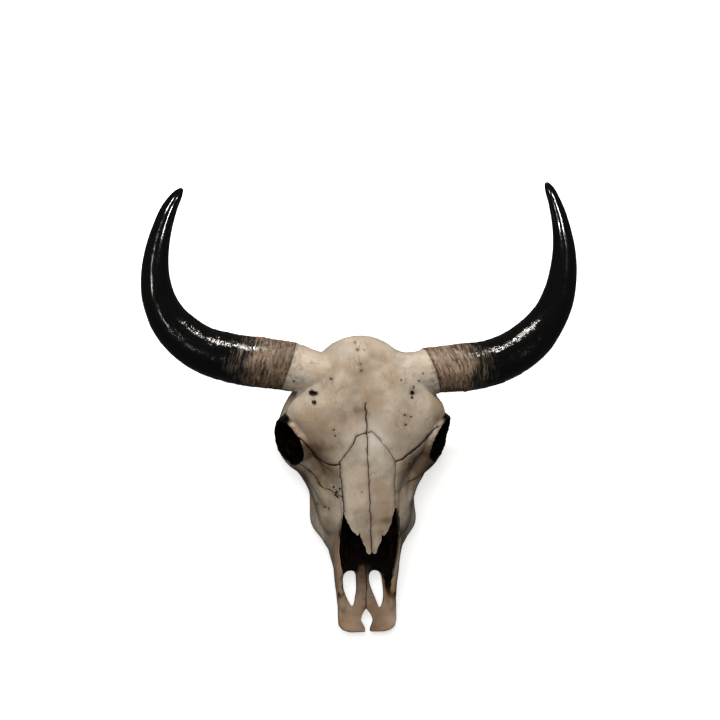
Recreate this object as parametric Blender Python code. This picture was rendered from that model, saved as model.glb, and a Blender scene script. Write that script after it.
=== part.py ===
"""A bull bison's skull without its lower jaw, with both horn sheaths on their cores.

The bones are shaped in the skull's own frame: x across, y from the tips of the premaxillae
towards the poll, z out of the forehead. They are lofts, swept bars and ellipsoids that one
remesh joins, with the sockets and passages cut out, and thin cuts along the sutures part
them into the bones that a person would name. An empty then tips the skull on to its cheek
teeth and the processes beside its neck joint, as it rests on a table.
"""

import math
from functools import partial

import bmesh
import bpy
import numpy as np
from mathutils import Matrix, Vector

SIDES = {"left": 1.0, "right": -1.0}

# The tip of the skull on its base, the base's height, and the gap at each suture
BASE_PITCH = math.radians(11.0)
BASE_AT_TIP = -0.119
SUTURE_GAP = 0.0004

# Mesh densities
FORM_VOXEL = 0.0026
BONE_FACES = 8200
RING_POINTS = 40


def base_level(y):
    """Height of the table under the skull, in the skull's own frame."""
    return BASE_AT_TIP - math.tan(BASE_PITCH) * y


def new_object(name, mesh):
    obj = bpy.data.objects.new(name, mesh)
    bpy.context.scene.collection.objects.link(obj)
    return obj


def object_from_bmesh(name, bm):
    """A closed skin as a new object, its faces turned outward."""
    bmesh.ops.recalc_face_normals(bm, faces=bm.faces)
    if bm.calc_volume(signed=True) < 0:
        bmesh.ops.reverse_faces(bm, faces=bm.faces)
    mesh = bpy.data.meshes.new(name)
    bm.to_mesh(mesh)
    bm.free()
    return new_object(name, mesh)


def smooth_rows(rows, count):
    """Rows of a table, keyed by their first column, resampled on a smooth curve through them."""
    rows = np.array(rows, float)
    keys = rows[:, 0]
    slopes = np.gradient(rows, keys, axis=0)
    out = []
    for key in np.linspace(keys[0], keys[-1], count):
        i = min(max(int(np.searchsorted(keys, key)) - 1, 0), len(keys) - 2)
        step = keys[i + 1] - keys[i]
        t = (key - keys[i]) / step
        value = (
            (2 * t**3 - 3 * t**2 + 1) * rows[i]
            + (t**3 - 2 * t**2 + t) * step * slopes[i]
            + (3 * t**2 - 2 * t**3) * rows[i + 1]
            + (t**3 - t**2) * step * slopes[i + 1]
        )
        out.append(value)
    return out


def closed_curve(points, count):
    """count points on a smooth closed curve through the given 2-D points."""
    points = np.array(points, float)
    n = len(points)
    out = []
    for i in range(count):
        at = i * n / count
        k, t = int(at), at - int(at)
        p0, p1, p2, p3 = (points[(k + j) % n] for j in (-1, 0, 1, 2))
        out.append(
            0.5 * (2 * p1 + (p2 - p0) * t + (2 * p0 - 5 * p1 + 4 * p2 - p3) * t**2
                   + (3 * p1 - p0 - 3 * p2 + p3) * t**3)
        )
    return out


def skin_rings(name, rings):
    """A closed skin over rings of equal length, each end shut by a fan."""
    bm = bmesh.new()
    rows = [[bm.verts.new(p) for p in ring] for ring in rings]
    n = len(rows[0])
    for a, b in zip(rows, rows[1:]):
        for i in range(n):
            bm.faces.new((a[i], a[(i + 1) % n], b[(i + 1) % n], b[i]))
    for ring in (rows[0], rows[-1]):
        middle = bm.verts.new(sum((v.co for v in ring), Vector()) / n)
        for i in range(n):
            bm.faces.new((ring[i], ring[(i + 1) % n], middle))
    return object_from_bmesh(name, bm)


def half_section_loft(name, rows, section, count):
    """A loft along y, symmetric about x = 0. section turns a row into its right half, top to bottom."""
    rings = []
    for row in smooth_rows(rows, count):
        half = section(*row[1:])
        ring = half + [(-x, z) for x, z in reversed(half[1:-1])]
        rings.append([(x, row[0], z) for x, z in closed_curve(ring, RING_POINTS)])
    return skin_rings(name, rings)


def bar(name, path, count=24, across=(0, 0, 1), round_ends=True, sides=16):
    """A swept bar. Each path row is x, y, z, half thickness sideways, half thickness along across."""
    keyed = []
    length = 0.0
    for i, row in enumerate(path):
        if i:
            length += (Vector(row[:3]) - Vector(path[i - 1][:3])).length
        keyed.append((length, *row))
    rows = smooth_rows(keyed, count)
    rings = []
    for i, row in enumerate(rows):
        before, after = rows[max(i - 1, 0)], rows[min(i + 1, count - 1)]
        along = Vector(after[1:4] - before[1:4]).normalized()
        side = along.cross(Vector(across)).normalized()
        up = side.cross(along)
        fit = 1.0
        if round_ends:
            end = min(i, count - 1 - i)
            fit = (0.45, 0.8, 0.95, 1.0)[min(end, 3)]
        ring = []
        for k in range(sides):
            a = 2 * math.pi * k / sides
            offset = side * (math.cos(a) * row[4] * fit) + up * (math.sin(a) * row[5] * fit)
            ring.append(Vector(row[1:4]) + offset)
        rings.append(ring)
    return skin_rings(name, rings)


def ellipsoid(name, centre, radii):
    bm = bmesh.new()
    bmesh.ops.create_icosphere(bm, subdivisions=4, radius=1.0)
    size = Matrix.Diagonal((*radii, 1.0))
    bm.transform(Matrix.Translation(centre) @ size)
    return object_from_bmesh(name, bm)


def cone(name, start, end, start_radius, end_radius):
    """A round frustum between two points."""
    axis = Vector(end) - Vector(start)
    bm = bmesh.new()
    bmesh.ops.create_cone(bm, cap_ends=True, segments=32, radius1=start_radius,
                          radius2=end_radius, depth=axis.length)
    turn = axis.to_track_quat("Z", "Y").to_matrix().to_4x4()
    place = Matrix.Translation((Vector(start) + Vector(end)) / 2)
    bm.transform(place @ turn)
    return object_from_bmesh(name, bm)


def evaluated_mesh(obj):
    graph = bpy.context.evaluated_depsgraph_get()
    return bpy.data.meshes.new_from_object(obj.evaluated_get(graph))


def bake(obj):
    """Turns an object's modifiers into its mesh."""
    mesh = evaluated_mesh(obj)
    obj.modifiers.clear()
    old = obj.data
    obj.data = mesh
    bpy.data.meshes.remove(old)
    return obj


def discard(*objects):
    for obj in objects:
        bpy.data.objects.remove(obj)


def boolean(obj, other, operation):
    """One cut, union or intersection. EXACT is slow on skins as dense as these."""
    cut = obj.modifiers.new("cut", "BOOLEAN")
    cut.operation = operation
    cut.solver = "MANIFOLD"
    cut.object = other
    return bake(obj)


def carve(obj, *cutters):
    for cutter in cutters:
        boolean(obj, cutter, "DIFFERENCE")
    discard(*cutters)
    return obj


def copy_of(obj, name):
    return new_object(name, obj.data.copy())


def joined(name, objects):
    """Many closed shells as one object, for the remesh to fuse."""
    bm = bmesh.new()
    for obj in objects:
        bm.from_mesh(obj.data)
    discard(*objects)
    mesh = bpy.data.meshes.new(name)
    bm.to_mesh(mesh)
    bm.free()
    return new_object(name, mesh)


def fuse(obj, voxel, smoothing):
    remesh = obj.modifiers.new("fuse", "REMESH")
    remesh.mode = "VOXEL"
    remesh.voxel_size = voxel
    soften = obj.modifiers.new("soften", "SMOOTH")
    soften.factor = 0.5
    soften.iterations = smoothing
    return bake(obj)


# Forms of the bone

def rostrum():
    """Nasal roof, cheeks and palate, back to the front of the orbits."""
    def section(roof_half, roof_z, drop, cheek_half, cheek_z, base_half, base_z):
        wall_x = roof_half + 0.52 * (cheek_half - roof_half)
        wall_z = 0.56 * (roof_z - drop) + 0.44 * cheek_z
        return [(0, roof_z), (0.6 * roof_half, roof_z - 0.3 * drop), (roof_half, roof_z - drop),
                (wall_x, wall_z), (cheek_half, cheek_z), (base_half + 0.006, base_z + 0.010),
                (0.5 * base_half, base_z), (0, base_z)]
    rows = [
        (0.100, 0.032, -0.027, 0.013, 0.056, -0.088, 0.044, -0.105),
        (0.118, 0.035, -0.024, 0.013, 0.061, -0.090, 0.047, -0.106),
        (0.150, 0.041, -0.018, 0.013, 0.069, -0.094, 0.052, -0.111),
        (0.190, 0.047, -0.013, 0.013, 0.079, -0.099, 0.058, -0.118),
        (0.228, 0.050, -0.009, 0.013, 0.085, -0.102, 0.064, -0.127),
        (0.262, 0.053, -0.006, 0.014, 0.091, -0.102, 0.068, -0.135),
        (0.295, 0.062, -0.003, 0.015, 0.103, -0.096, 0.068, -0.143),
        (0.330, 0.080, 0.000, 0.018, 0.108, -0.088, 0.058, -0.148),
        (0.360, 0.088, 0.001, 0.024, 0.098, -0.080, 0.046, -0.146),
    ]
    return half_section_loft("rostrum", rows, section, 36)


def forehead():
    """The broad shield of the frontal bones, whose edges roof the orbits and the temples."""
    def section(half, crown, edge):
        fall = crown - edge
        return [(0, crown), (0.45 * half, crown - 0.1 * fall), (0.82 * half, crown - 0.5 * fall),
                (half, edge), (0.94 * half, edge - 0.011), (0.6 * half, edge - 0.024),
                (0, edge - 0.030)]
    rows = [
        (0.284, 0.058, -0.005, -0.022),
        (0.318, 0.092, -0.001, -0.032),
        (0.346, 0.114, 0.003, -0.036),
        (0.372, 0.132, 0.006, -0.040),
        (0.396, 0.145, 0.007, -0.046),
        (0.412, 0.142, 0.007, -0.048),
        (0.432, 0.128, 0.006, -0.048),
        (0.456, 0.118, 0.004, -0.046),
        (0.482, 0.108, -0.005, -0.050),
        (0.503, 0.086, -0.020, -0.058),
        (0.516, 0.056, -0.036, -0.066),
    ]
    return half_section_loft("forehead", rows, section, 48)


def braincase():
    def section(half, top, bottom):
        middle = (top + bottom) / 2
        return [(0, top), (0.8 * half, top), (half, middle + 0.01), (0.78 * half, bottom + 0.02),
                (0.4 * half, bottom), (0, bottom)]
    rows = [
        (0.330, 0.046, -0.030, -0.138),
        (0.372, 0.056, -0.030, -0.142),
        (0.410, 0.066, -0.030, -0.152),
        (0.440, 0.084, -0.030, -0.164),
        (0.462, 0.108, -0.034, -0.170),
        (0.480, 0.110, -0.040, -0.168),
        (0.494, 0.094, -0.050, -0.158),
        (0.501, 0.066, -0.064, -0.142),
    ]
    return half_section_loft("braincase", rows, section, 24)


# Half of the premaxillae's front plate from above: the two are not alike
PREMAXILLA_PLATES = {
    "right": [(0.0020, 0.012), (0.0060, 0.001), (0.014, -0.004), (0.032, -0.0045),
              (0.046, 0.000), (0.0540, 0.009), (0.0550, 0.026), (0.0545, 0.048),
              (0.050, 0.064), (0.038, 0.074), (0.026, 0.070), (0.014, 0.074), (0.002, 0.070)],
    "left": [(0.0020, 0.012), (0.0060, 0.000), (0.014, -0.004), (0.030, -0.0045),
             (0.042, -0.001), (0.0505, 0.006), (0.0530, 0.018), (0.0535, 0.048),
             (0.050, 0.064), (0.038, 0.074), (0.026, 0.070), (0.014, 0.074), (0.002, 0.070)]}
ORBIT_CENTRE = Vector((0.1375, 0.3500, -0.0680))
ORBIT_FACING = Vector((0.840, -0.430, 0.340)).normalized()
ORBIT_RIM_RADIUS = 0.0400


def mirrored(point, side):
    return Vector((point[0] * side, point[1], point[2]))


def side_path(path, side):
    return [(row[0] * side, *row[1:]) for row in path]


def side_forms(word):
    """The paired forms of one side."""
    side = SIDES[word]
    centre = mirrored(ORBIT_CENTRE, side)
    facing = mirrored(ORBIT_FACING, side)
    forms = [
        cone("orbit_cup", centre - facing * 0.075, centre + facing * 0.002,
             0.060, ORBIT_RIM_RADIUS + 0.0055),
        bar("lacrimal_swell", side_path([
            (0.060, 0.238, -0.060, 0.020, 0.016),
            (0.075, 0.270, -0.060, 0.024, 0.018),
            (0.091, 0.302, -0.062, 0.026, 0.020),
            (0.104, 0.332, -0.062, 0.022, 0.020)], side)),
        bar("cheek_arch", side_path([
            (0.102, 0.288, -0.104, 0.010, 0.015),
            (0.130, 0.314, -0.104, 0.010, 0.015),
            (0.149, 0.350, -0.108, 0.009, 0.014),
            (0.146, 0.392, -0.108, 0.008, 0.012),
            (0.130, 0.426, -0.110, 0.008, 0.010),
            (0.092, 0.456, -0.114, 0.012, 0.014),
            (0.060, 0.470, -0.118, 0.018, 0.020)], side)),
        bar("cheek_crest", side_path([
            (0.127, 0.314, -0.100, 0.011, 0.016),
            (0.102, 0.286, -0.104, 0.011, 0.016),
            (0.0875, 0.258, -0.107, 0.011, 0.015),
            (0.0845, 0.230, -0.108, 0.013, 0.014),
            (0.0850, 0.200, -0.106, 0.013, 0.013),
            (0.0700, 0.174, -0.104, 0.011, 0.012),
            (0.0545, 0.142, -0.099, 0.010, 0.010)], side)),
        bar("tooth_ridge", side_path([
            (0.050, 0.164, base_level(0.164) + 0.028, 0.011, 0.012),
            (0.059, 0.215, base_level(0.215) + 0.030, 0.015, 0.014),
            (0.062, 0.265, base_level(0.265) + 0.030, 0.017, 0.014),
            (0.058, 0.318, base_level(0.318) + 0.032, 0.017, 0.014),
            (0.052, 0.342, base_level(0.342) + 0.040, 0.014, 0.014)], side)),
        bar("horn_pedicle", side_path([
            (0.040, 0.466, -0.046, 0.040, 0.036),
            (0.078, 0.468, -0.050, 0.041, 0.038),
            (0.102, 0.472 - 0.003 * side, -0.054, 0.0415, 0.038),
            (0.124, 0.477 - 0.003 * side, -0.060, 0.043, 0.040),
            (0.150, 0.482 - 0.004 * side, -0.064, 0.047, 0.044)], side), round_ends=False),
        bar("nasal_process", side_path([
            (0.0435 - 0.0015 * side, 0.030, -0.098, 0.010, 0.008),
            (0.0460 - 0.0018 * side, 0.055, -0.095, 0.009, 0.010),
            (0.0490 - 0.0008 * side, 0.085, -0.090, 0.0085, 0.015),
            (0.0520, 0.115, -0.083, 0.0085, 0.019),
            (0.0525, 0.150, -0.074, 0.0095, 0.023),
            (0.0530, 0.190, -0.066, 0.0085, 0.028)], side)),
        prism("premaxilla_plate", on_side(PREMAXILLA_PLATES[word], side), -0.1075, -0.0925),
        bar("palatine_process", side_path([
            (0.016, 0.030, -0.100, 0.012, 0.0065),
            (0.0085, 0.060, -0.101, 0.0080, 0.006),
            (0.0070, 0.100, -0.103, 0.0070, 0.006),
            (0.0065, 0.150, -0.107, 0.0060, 0.006)], side)),
        ellipsoid("condyle", (0.039 * side, 0.488, -0.166), (0.023, 0.026, 0.026)),
        bar("paracondylar", side_path([
            (0.074, 0.468, -0.135, 0.034, 0.030),
            (0.078, 0.473, -0.160, 0.024, 0.023),
            (0.076, 0.477, -0.184, 0.014, 0.016),
            (0.071, 0.477, base_level(0.477) - 0.004, 0.008, 0.011)], side),
            across=(0, 1, 0), round_ends=False),
        ellipsoid("bulla", (0.046 * side, 0.452, -0.160), (0.015, 0.022, 0.019)),
        cone("ear_tube", (0.050 * side, 0.456, -0.140), (0.098 * side, 0.462, -0.128), 0.014, 0.010),
        bar("pterygoid", side_path([
            (0.030, 0.326, -0.142, 0.008, 0.012),
            (0.026, 0.352, -0.152, 0.005, 0.020),
            (0.024, 0.382, -0.160, 0.005, 0.018),
            (0.022, 0.410, -0.160, 0.006, 0.012)], side)),
    ]
    return forms


def middle_forms():
    poll = ellipsoid("poll", (-0.009, 0.4525, -0.052), (0.090, 0.0875, 0.054))
    base = bar("skull_base", [
        (0, 0.350, -0.140, 0.030, 0.016),
        (0, 0.410, -0.154, 0.020, 0.016),
        (0, 0.450, -0.166, 0.024, 0.016),
        (0, 0.486, -0.172, 0.034, 0.016)])
    shelf = bar("left_fissure_shelf", [
        (0.0390, 0.060, -0.1005, 0.0065, 0.005),
        (0.0385, 0.085, -0.1005, 0.0070, 0.005),
        (0.0380, 0.114, -0.1005, 0.0070, 0.005)])
    return [poll, base, shelf]


def whole_bone():
    forms = [rostrum(), forehead(), braincase(), *middle_forms()]
    for word in SIDES:
        forms += side_forms(word)
    return fuse(joined("bone", forms), FORM_VOXEL, 6)


# Sockets and passages

# The muzzle leans to the left, all of it before the first place and none behind the second
MUZZLE_LEAN = 0.0025
LEAN_START = 0.160
LEAN_END = 0.250


def nasal_cavity():
    """The passage behind the nasal opening, under the nasal roof and over the palate."""
    def section(half, top, bottom):
        return [(0, top), (0.7 * half, top - 0.004), (0.95 * half, top - 0.014),
                (half, (top + bottom) / 2), (0.8 * half, bottom), (0, bottom)]
    rows = [
        (0.060, 0.034, -0.040, -0.092),
        (0.100, 0.042, -0.038, -0.094),
        (0.150, 0.0465, -0.0325, -0.098),
        (0.200, 0.0485, -0.0270, -0.104),
        (0.240, 0.044, -0.0240, -0.110),
        (0.285, 0.028, -0.028, -0.108),
    ]
    return half_section_loft("nasal_cavity", rows, section, 24)


def passages():
    """What is cut out of the fused bone: sockets, canals and gaps."""
    cutters = [nasal_cavity()]
    for side in SIDES.values():
        centre = mirrored(ORBIT_CENTRE, side)
        facing = mirrored(ORBIT_FACING, side)
        cutters.append(cone("orbit", centre - facing * 0.030, centre + facing * 0.030,
                            ORBIT_RIM_RADIUS - 0.003, ORBIT_RIM_RADIUS + 0.0035))
        cutters.append(ellipsoid("orbit_depth", centre - facing * 0.030, (0.038, 0.038, 0.036)))
        cutters.append(bar("choana", side_path([
            (0.012, 0.318, -0.158, 0.008, 0.016),
            (0.012, 0.352, -0.158, 0.011, 0.018),
            (0.010, 0.386, -0.170, 0.009, 0.014)], side)))
    cutters.append(bar("right_palatine_fissure", [
        (-0.0265, 0.040, -0.102, 0.0010, 0.030),
        (-0.0290, 0.056, -0.102, 0.0075, 0.030),
        (-0.0305, 0.075, -0.102, 0.0120, 0.030),
        (-0.0305, 0.095, -0.102, 0.0120, 0.030),
        (-0.0280, 0.109, -0.102, 0.0085, 0.030)]))
    cutters.append(bar("left_palatine_fissure", [
        (0.0230, 0.035, -0.102, 0.0010, 0.030),
        (0.0200, 0.054, -0.102, 0.0080, 0.030),
        (0.0180, 0.075, -0.102, 0.0130, 0.030),
        (0.0180, 0.095, -0.102, 0.0130, 0.030),
        (0.0165, 0.109, -0.102, 0.0090, 0.030)]))
    cutters.append(cone("foramen_magnum", (0, 0.450, -0.138), (0, 0.540, -0.140), 0.015, 0.020))
    cutters.append(bar("tip_notch", [
        (0.0010, -0.020, -0.100, 0.0045, 0.030),
        (0, 0.004, -0.100, 0.0058, 0.030),
        (-0.0020, 0.020, -0.100, 0.0098, 0.030),
        (-0.0022, 0.030, -0.100, 0.0066, 0.030),
        (-0.0024, 0.041, -0.100, 0.0006, 0.030)], round_ends=False))
    return cutters


def lean_muzzle(bone):
    """Shifts the muzzle towards the animal's left, fading out over the nose."""
    for vertex in bone.data.vertices:
        share = min(1.0, max(0.0, (LEAN_END - vertex.co.y) / (LEAN_END - LEAN_START)))
        vertex.co.x += MUZZLE_LEAN * share * share * (3 - 2 * share)
    return bone


def fused_bone():
    bone = carve(whole_bone(), *passages())
    fuse(bone, FORM_VOXEL, 3)
    thin = bone.modifiers.new("thin", "DECIMATE")
    thin.ratio = BONE_FACES / (2 * len(bone.data.polygons))
    return lean_muzzle(bake(bone))


# Bones, parted along their sutures

def prism(name, outline, low, high, axis="z"):
    """An outline pushed along z, or along x where the outline is in y and z.

    low and high are levels, or functions of the outline's two coordinates."""
    bm = bmesh.new()
    rings = []
    for level in (low, high):
        ring = []
        for a, b in outline:
            c = level(a, b) if callable(level) else level
            ring.append(bm.verts.new((a, b, c) if axis == "z" else (c, a, b)))
        rings.append(ring)
    n = len(outline)
    for i in range(n):
        bm.faces.new((rings[0][i], rings[0][(i + 1) % n], rings[1][(i + 1) % n], rings[1][i]))
    for ring in rings:
        bmesh.ops.triangulate(bm, faces=[bm.faces.new(ring)])
    return object_from_bmesh(name, bm)


def grown(outline, by):
    """The outline with each edge moved out by a distance, its corners mitred."""
    points = [np.array(p) for p in outline]
    n = len(points)
    area = sum(points[i - 1][0] * points[i][1] - points[i][0] * points[i - 1][1] for i in range(n))
    out = []
    for i, point in enumerate(points):
        normals = []
        for a, b in ((points[i - 1], point), (point, points[(i + 1) % n])):
            dx, dy = (b - a) / np.linalg.norm(b - a)
            normals.append(np.array((dy, -dx)) * math.copysign(1.0, area))
        mitre = (normals[0] + normals[1]) / max(0.25, 1 + float(normals[0] @ normals[1]))
        out.append(tuple(point + by * mitre))
    return out


def take(source, name, block_of):
    """The bone inside a block, cut from its source with a suture's gap round it.

    block_of(by) makes the block, with its sides and floor moved out by a distance."""
    block = block_of(0.0)
    bone = boolean(copy_of(source, name), block, "INTERSECT")
    discard(block)
    carve(source, block_of(SUTURE_GAP))
    return bone


def largest_body(obj):
    """Keeps only the largest closed surface of an object."""
    bm = bmesh.new()
    bm.from_mesh(obj.data)
    left = set(bm.faces)
    best = set()
    while left:
        stack = [left.pop()]
        body = set(stack)
        while stack:
            for edge in stack.pop().edges:
                for face in edge.link_faces:
                    if face not in body:
                        body.add(face)
                        stack.append(face)
        left -= body
        if len(body) > len(best):
            best = body
    bmesh.ops.delete(bm, geom=[f for f in bm.faces if f not in best], context="FACES")
    bm.to_mesh(obj.data)
    bm.free()
    return obj


def on_side(outline, side):
    return [(x * side, y) for x, y in outline]


# Outlines from above: half of those that cross the middle, the left one of the others
NASAL_OUTLINE = [
    (0, 0.352), (0.007, 0.361), (0.016, 0.352), (0.050, 0.295), (0.053, 0.282),
    (0.0495, 0.262), (0.0475, 0.214), (0.0405, 0.199), (0.0325, 0.184), (0.0265, 0.176),
    (0.0215, 0.176), (0.0170, 0.166), (0.0122, 0.153), (0.0075, 0.142), (0.0035, 0.1405),
    (0.0012, 0.150), (0, 0.200)]
LACRIMAL_OUTLINE = [
    (0.0540, 0.280), (0.0580, 0.2900), (0.088, 0.316), (0.112, 0.340), (0.136, 0.330),
    (0.130, 0.304), (0.112, 0.298), (0.088, 0.286), (0.078, 0.266), (0.062, 0.256),
    (0.0500, 0.240), (0.0500, 0.262)]
PREMAXILLA_OUTLINE = [
    (0, -0.020), (0.090, -0.020), (0.090, 0.108), (0.072, 0.118), (0.066, 0.126), (0, 0.126)]
PREMAXILLA_STRIP = [
    (0.040, 0.116), (0.068, 0.116), (0.0655, 0.127), (0.062, 0.134), (0.056, 0.165),
    (0.0485, 0.208), (0.042, 0.212)]
# Outlines from the side
ZYGOMATIC_OUTLINE = [
    (0.254, -0.094), (0.290, -0.084), (0.318, -0.074), (0.340, -0.070), (0.396, -0.070),
    (0.410, -0.092), (0.422, -0.098), (0.414, -0.135), (0.300, -0.135), (0.262, -0.130)]
AIR_OUTLINE = [
    (-0.020, -0.070), (0.060, -0.076), (0.112, -0.060), (0.150, -0.047), (0.190, -0.033),
    (0.216, -0.020), (0.216, 0.050), (-0.020, 0.050)]
# From above, the gap beside the nasals at each upper corner of the nasal opening
SLIT_OUTLINE = [(0.020, 0.155), (0.020, 0.170), (0.0462, 0.222), (0.0495, 0.205), (0.0485, 0.155)]
MAXILLA_OUTLINE = [
    (0.050, 0.050), (0.252, 0.050), (0.260, -0.090), (0.290, -0.112), (0.352, -0.118),
    (0.356, -0.250), (0.050, -0.250)]


def nasal_block(by):
    outline = grown(both_halves(NASAL_OUTLINE), by)
    return prism("block", outline, lambda x, y: -0.038 + 0.10 * (y - 0.142) - by, 0.040)


def premaxilla_block(by):
    """The whole front end, and a shallow strip up each edge of the nasal opening."""
    block = prism("block", grown(both_halves(PREMAXILLA_OUTLINE), by), -0.200, 0.040)
    for side in SIDES.values():
        outline = grown(on_side(PREMAXILLA_STRIP, side), by)
        strip = prism("strip", outline, lambda x, y: -0.092 + 0.25 * (y - 0.126) - by, 0.040)
        boolean(block, strip, "UNION")
        discard(strip)
    return block


def lacrimal_block(side, by):
    outline = grown(on_side(LACRIMAL_OUTLINE, side), by)
    return prism("block", outline, lambda x, y: -0.034 - 0.80 * (abs(x) - 0.050) - by, 0.040)


def zygomatic_block(side, by):
    return prism("block", grown(ZYGOMATIC_OUTLINE, by), (0.0785 - by) * side, 0.190 * side, axis="x")


def maxilla_block(by):
    return prism("block", grown(MAXILLA_OUTLINE, by), -0.190, 0.190, axis="x")


def both_halves(outline):
    """An outline whose first and last points lie on the middle, with its mirrored half."""
    return outline + [(-x, y) for x, y in reversed(outline[1:-1])]


def paired(pair, name):
    """The two bones of a pair, parted along the middle."""
    bones = {}
    for word, side in SIDES.items():
        block = prism("half", [(-1, -1), (1, -1), (1, 1), (-1, 1)], 0.5 * SUTURE_GAP * side,
                      0.3 * side, axis="x")
        bones[f"{name}_{word}"] = boolean(copy_of(pair, f"{name}_{word}"), block, "INTERSECT")
        discard(block)
    discard(pair)
    return bones


def facial_bones(bone):
    """Takes the bones of the face out of the whole. What stays is the cranium."""
    bones = paired(take(bone, "pair", nasal_block), "nasal")
    carve(bone, prism("air", AIR_OUTLINE, -0.120, 0.120, axis="x"))
    for side in SIDES.values():
        carve(bone, prism("slit", on_side(SLIT_OUTLINE, side), -0.062, 0.050))
    bones.update(paired(take(bone, "pair", premaxilla_block), "premaxilla"))
    for word, side in SIDES.items():
        bones[f"lacrimal_{word}"] = take(bone, f"lacrimal_{word}", partial(lacrimal_block, side))
        bones[f"zygomatic_{word}"] = take(bone, f"zygomatic_{word}", partial(zygomatic_block, side))
    bones.update(paired(take(bone, "pair", maxilla_block), "maxilla"))
    return bones


# Cheek teeth, three premolars then three molars: place along the row, breadth and length
TOOTH_ROW = [
    (0.1800, 0.0150, 0.0150), (0.1975, 0.0190, 0.0185), (0.2170, 0.0220, 0.0190),
    (0.2400, 0.0255, 0.0255), (0.2690, 0.0275, 0.0300), (0.3010, 0.0270, 0.0320)]
TOOTH_DEPTH = 0.040
TOOTH_WAIST = 0.86
TOOTH_SIDES = 12


def tooth_line(y):
    """Sideways place of the tooth row, a slight bow."""
    return 0.0610 - 1.3 * (y - 0.268) ** 2


def squared(cosine):
    """Bends a circle's coordinate towards a rounded square's."""
    return math.copysign(abs(cosine) ** 0.6, cosine)


def tooth(y, breadth, length, side):
    """One high crown, narrower at its root, its worn top on the table."""
    rings = []
    for rise, fit in ((0.0, 0.93), (0.004, 1.0), (TOOTH_DEPTH, TOOTH_WAIST)):
        ring = []
        for k in range(TOOTH_SIDES):
            a = 2 * math.pi * k / TOOTH_SIDES
            x = tooth_line(y) * side + 0.5 * breadth * fit * squared(math.cos(a))
            along = y + 0.5 * length * fit * squared(math.sin(a))
            ring.append(Vector((x, along, base_level(along) + rise)))
        rings.append(ring)
    return skin_rings("tooth", rings)


def set_teeth(maxilla, side):
    for y, breadth, length in TOOTH_ROW:
        crown = tooth(y, breadth, length, side)
        boolean(maxilla, crown, "UNION")
        discard(crown)
    return maxilla


# Horns: middle of the horn, half thickness across and up. The left one hangs lower halfway
HORN_PATHS = {
    "right": [
        (0.1290, 0.4850, -0.0610, 0.0445, 0.0430),
        (0.1750, 0.4915, -0.0665, 0.0462, 0.0445),
        (0.2410, 0.5022, -0.0725, 0.0456, 0.0438),
        (0.2995, 0.5222, -0.0755, 0.0425, 0.0410),
        (0.3505, 0.5650, -0.0740, 0.0360, 0.0338),
        (0.3718, 0.6040, -0.0690, 0.0306, 0.0287),
        (0.3797, 0.6466, -0.0610, 0.0256, 0.0240),
        (0.3778, 0.6901, -0.0500, 0.0212, 0.0198),
        (0.3684, 0.7331, -0.0360, 0.0168, 0.0158),
        (0.3515, 0.7765, -0.0190, 0.0118, 0.0112),
        (0.3318, 0.8035, -0.0050, 0.0035, 0.0035)],
    "left": [
        (0.1290, 0.4755, -0.0610, 0.0430, 0.0430),
        (0.1750, 0.4790, -0.0665, 0.0445, 0.0445),
        (0.2410, 0.4890, -0.0725, 0.0432, 0.0438),
        (0.2985, 0.5170, -0.0755, 0.0410, 0.0410),
        (0.3450, 0.5628, -0.0740, 0.0345, 0.0338),
        (0.3650, 0.6025, -0.0690, 0.0303, 0.0287),
        (0.3742, 0.6445, -0.0610, 0.0260, 0.0240),
        (0.3750, 0.6885, -0.0500, 0.0214, 0.0198),
        (0.3678, 0.7335, -0.0360, 0.0172, 0.0158),
        (0.3522, 0.7795, -0.0190, 0.0122, 0.0112),
        (0.3335, 0.8145, -0.0050, 0.0040, 0.0040)]}
HORN_RINGS = 28
HORN_SIDES = 20


def horn_path(word):
    return side_path(HORN_PATHS[word], SIDES[word])


def horn_sheath(word):
    return bar("horn_sheath", horn_path(word), HORN_RINGS, round_ends=False, sides=HORN_SIDES)


def trim_pedicle(bone, word):
    """Cuts the horn core's base off flat, where the sheath's rim meets it."""
    root, onward = (Vector(row[:3]) for row in horn_path(word)[:2])
    axis = (onward - root).normalized()
    start = root - axis * SUTURE_GAP
    return carve(bone, cone("trim", start, start + axis * 0.060, 0.054, 0.054))


# Finish and rest

FINISHES = {
    "bone": ((0.50, 0.42, 0.33), 0.55),
    "muzzle_bone": ((0.33, 0.25, 0.18), 0.50),
    "horn": ((0.012, 0.011, 0.010), 0.22),
}


def finish(kind):
    material = bpy.data.materials.get(kind)
    if material is None:
        colour, roughness = FINISHES[kind]
        material = bpy.data.materials.new(kind)
        material.use_nodes = True
        shader = material.node_tree.nodes["Principled BSDF"]
        shader.inputs["Base Color"].default_value = (*colour, 1.0)
        shader.inputs["Roughness"].default_value = roughness
        shader.inputs["Metallic"].default_value = 0.0
    return material


def slot_of(name):
    if name.startswith("horn"):
        return "horn"
    return "muzzle_bone" if name.startswith("premaxilla") else "bone"


def lay_to_rest(nodes):
    """Tips the skull on to its teeth, with the middle of its box over the origin."""
    rest = bpy.data.objects.new("skull_rest", None)
    bpy.context.scene.collection.objects.link(rest)
    rest.rotation_euler = (BASE_PITCH, 0, 0)
    turn = rest.rotation_euler.to_matrix()
    places = [turn @ v.co for node in nodes for v in node.data.vertices]
    low = [min(p[i] for p in places) for i in range(3)]
    high = [max(p[i] for p in places) for i in range(3)]
    rest.location = (-(low[0] + high[0]) / 2, -(low[1] + high[1]) / 2, -low[2])
    for node in nodes:
        node.parent = rest
    return rest


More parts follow.
